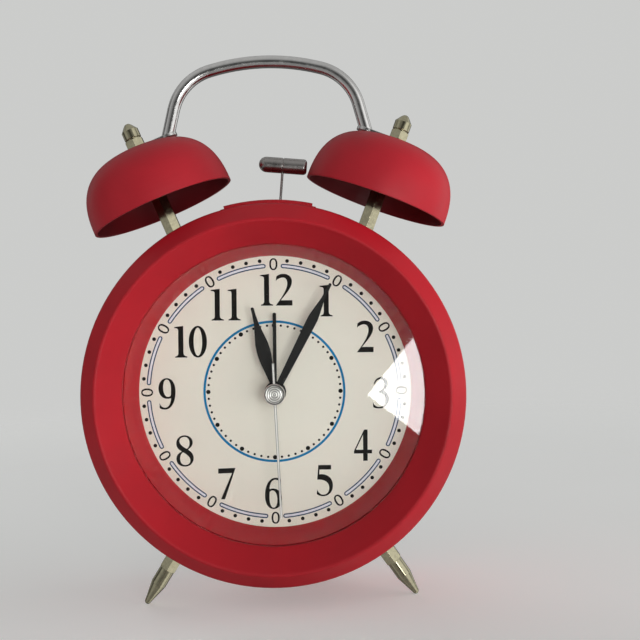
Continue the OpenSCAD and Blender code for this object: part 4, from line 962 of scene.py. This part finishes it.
class CLOCK_OT_stage(bpy.types.Operator):
    """Pale floor, soft light and the camera"""

    bl_idname = "clock.stage"
    bl_label = "Stage"

    def execute(self, context):
        given = context.scene.clock_stage
        context.scene.view_settings.view_transform = "Standard"
        self.add_floor(context, given)
        self.add_world(context, given)
        lamps = {name: self.add_lamp(context, name + "_light", *LAMPS[name], getattr(given, name))
                 for name in LAMPS}
        for name in ("key", "front", "fill"):
            lamps[name].visible_glossy = lamps[name].visible_transmission = False
        lamps["window"].rotation_euler.rotate_axis("Z", WINDOW_TURN)
        lamps["window"].visible_diffuse = False
        self.add_camera(context, given)
        return {"FINISHED"}

    def add_floor(self, context, given):
        """Round floor that runs out into the surroundings."""
        material, tree, shader = new_material("pale_floor")
        shader.inputs["Roughness"].default_value = 0.7
        shader.inputs["Specular IOR Level"].default_value = 0.0
        skin = use_group(tree, "surface_grain", {"Grain Scale": 900.0, "Mottle Scale": 6.0})
        feed(tree, shader.inputs["Base Color"],
             blend(tree, skin["Mottle"], scaled(given.floor, 0.985), scaled(given.floor, 1.015)))
        out = add_node(tree, "ShaderNodeVectorMath", {0: object_place(tree)},
                       operation="LENGTH").outputs["Value"]
        fade = add_node(tree, "ShaderNodeMapRange", interpolation_type="SMOOTHSTEP", feeds={
            "Value": out, "From Min": FLOOR_FADE[0], "From Max": FLOOR_FADE[1]})
        path = tree.nodes.new("ShaderNodeLightPath")
        glow = add_node(tree, "ShaderNodeEmission", {
            "Color": (*given.floor, 1.0),
            "Strength": maths(tree, "MULTIPLY", path.outputs["Is Camera Ray"], given.lift)})
        lifted = add_node(tree, "ShaderNodeAddShader", {0: shader.outputs[0], 1: glow.outputs[0]})
        clear = tree.nodes.new("ShaderNodeBsdfTransparent")
        gone = maths(tree, "MAXIMUM", fade.outputs["Result"],
                     maths(tree, "MULTIPLY", path.outputs["Is Glossy Ray"], given.unmirrored))
        mixed = add_node(tree, "ShaderNodeMixShader", {
            0: gone, 1: lifted.outputs[0], 2: clear.outputs[0]})
        output = next(n for n in tree.nodes if n.type == "OUTPUT_MATERIAL")
        tree.links.new(mixed.outputs[0], output.inputs["Surface"])
        mesh = bpy.data.meshes.new("floor")
        rim = oval(FLOOR_R, FLOOR_R, 96)
        mesh.from_pydata([(x, y, 0.0) for x, y in rim], [], [range(len(rim))])
        mesh.materials.append(material)
        floor = bpy.data.objects.new("floor", mesh)
        context.scene.collection.objects.link(floor)

    def add_world(self, context, given):
        """Pale surroundings for what is seen or mirrored, and an even light on the object."""
        world = bpy.data.worlds.new("studio")
        context.scene.world = world
        world.use_nodes = True
        tree = world.node_tree
        tree.nodes.clear()
        path = tree.nodes.new("ShaderNodeLightPath").outputs
        light = add_node(tree, "ShaderNodeBackground", {
            "Color": (0.97, 1.0, 1.0, 1.0), "Strength": given.ambient})
        pale = add_node(tree, "ShaderNodeBackground", {
            "Color": (*given.backdrop, 1.0), "Strength": 1.0})
        strips = add_node(tree, "ShaderNodeBackground", {"Strength": self.mirrored(tree)})
        lit = add_node(tree, "ShaderNodeMixShader", {
            0: path["Is Glossy Ray"], 1: light.outputs[0], 2: strips.outputs[0]})
        mixed = add_node(tree, "ShaderNodeMixShader", {
            0: path["Is Camera Ray"], 1: lit.outputs[0], 2: pale.outputs[0]})
        output = tree.nodes.new("ShaderNodeOutputWorld")
        tree.links.new(mixed.outputs[0], output.inputs["Surface"])

    def mirrored(self, tree):
        """Brightness that polished metal mirrors, by bearing, dim in front and even overhead."""
        aim = tree.nodes.new("ShaderNodeTexCoord").outputs["Generated"]
        split = add_node(tree, "ShaderNodeSeparateXYZ", {0: aim}).outputs
        bearing = maths(tree, "ARCTAN2", split["X"], maths(tree, "MULTIPLY", split["Y"], -1.0))
        strips = tree.nodes.new("ShaderNodeValToRGB")
        feed(tree, strips.inputs[0], spread(tree, bearing, -math.pi, math.pi, 0.0, 1.0))
        stops = strips.color_ramp.elements
        brightest = max(level for degrees, level in MIRRORED)
        stops.remove(stops[1])
        for k, (degrees, level) in enumerate(MIRRORED):
            stop = stops[0] if k == 0 else stops.new(0.5 + degrees / 360)
            stop.position = 0.5 + degrees / 360
            stop.color = (*[level / brightest] * 3, 1.0)
        dim = spread(tree, split["Y"], *FRONT_EDGE, FRONT_DIM * brightest, brightest)
        around = maths(tree, "MULTIPLY", strips.outputs["Color"], dim)
        above = spread(tree, split["Z"], *OVERHEAD_EDGE, 0.0, 1.0)
        return maths(tree, "ADD", maths(tree, "MULTIPLY", above, OVERHEAD),
                     maths(tree, "MULTIPLY", around, maths(tree, "SUBTRACT", 1.0, above)))

    def add_lamp(self, context, name, place, aim, size, power):
        """Soft rectangular lamp that shines along a direction."""
        lamp = bpy.data.lights.new(name, "AREA")
        lamp.shape = "RECTANGLE"
        lamp.size, lamp.size_y = size
        lamp.energy = power
        holder = bpy.data.objects.new(name, lamp)
        holder.location = place
        holder.rotation_euler = Vector(aim).to_track_quat("-Z", "Y").to_euler()
        holder.visible_camera = False
        context.scene.collection.objects.link(holder)
        return holder

    def add_camera(self, context, given):
        """Camera at the photograph's viewing angle."""
        camera = bpy.data.cameras.new("camera")
        camera.sensor_width = 36.0
        camera.lens = given.lens
        camera.clip_start = 0.01
        holder = bpy.data.objects.new("camera", camera)
        aim = Vector((math.tan(given.camera_right), 1.0, -math.tan(given.camera_down)))
        turn = aim.to_track_quat("-Z", "Y").to_matrix().to_4x4()
        roll = Matrix.Rotation(-given.camera_roll, 4, "Z")
        holder.matrix_world = Matrix.Translation(given.camera_at) @ turn @ roll
        context.scene.collection.objects.link(holder)
        context.scene.camera = holder


class CLOCK_PT_panel(bpy.types.Panel):
    """Steps that dress the clock"""

    bl_idname = "CLOCK_PT_panel"
    bl_label = "Alarm clock"
    bl_space_type = "VIEW_3D"
    bl_region_type = "UI"
    bl_category = "Clock"

    def draw(self, context):
        for step in STEPS:
            self.layout.operator(step.bl_idname)
        for group in ("clock_print", "clock_colours", "clock_stage"):
            settings = getattr(context.scene, group)
            box = self.layout.box()
            for key in settings.__annotations__:
                box.prop(settings, key)


STEPS = (
    CLOCK_OT_stage, CLOCK_OT_case, CLOCK_OT_bells, CLOCK_OT_metal, CLOCK_OT_hands, CLOCK_OT_dial,
    CLOCK_OT_numerals, CLOCK_OT_marks, CLOCK_OT_back, CLOCK_OT_movement,
)
SETTINGS = {"clock_print": ClockPrint, "clock_colours": ClockColours, "clock_stage": ClockStage}


def register():
    """Makes the settings, steps and panel known to Blender."""
    for kind in (*SETTINGS.values(), *STEPS, CLOCK_PT_panel):
        bpy.utils.register_class(kind)
    for key, kind in SETTINGS.items():
        setattr(bpy.types.Scene, key, bpy.props.PointerProperty(type=kind))


def unregister():
    """Takes the settings, steps and panel away again."""
    for key in SETTINGS:
        delattr(bpy.types.Scene, key)
    for kind in (CLOCK_PT_panel, *reversed(STEPS), *reversed(SETTINGS.values())):
        bpy.utils.unregister_class(kind)


def main():
    """Dresses the clock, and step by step."""
    register()
    for step in STEPS:
        group, name = step.bl_idname.split(".")
        getattr(getattr(bpy.ops, group), name)()


if __name__ == "__main__":
    main()
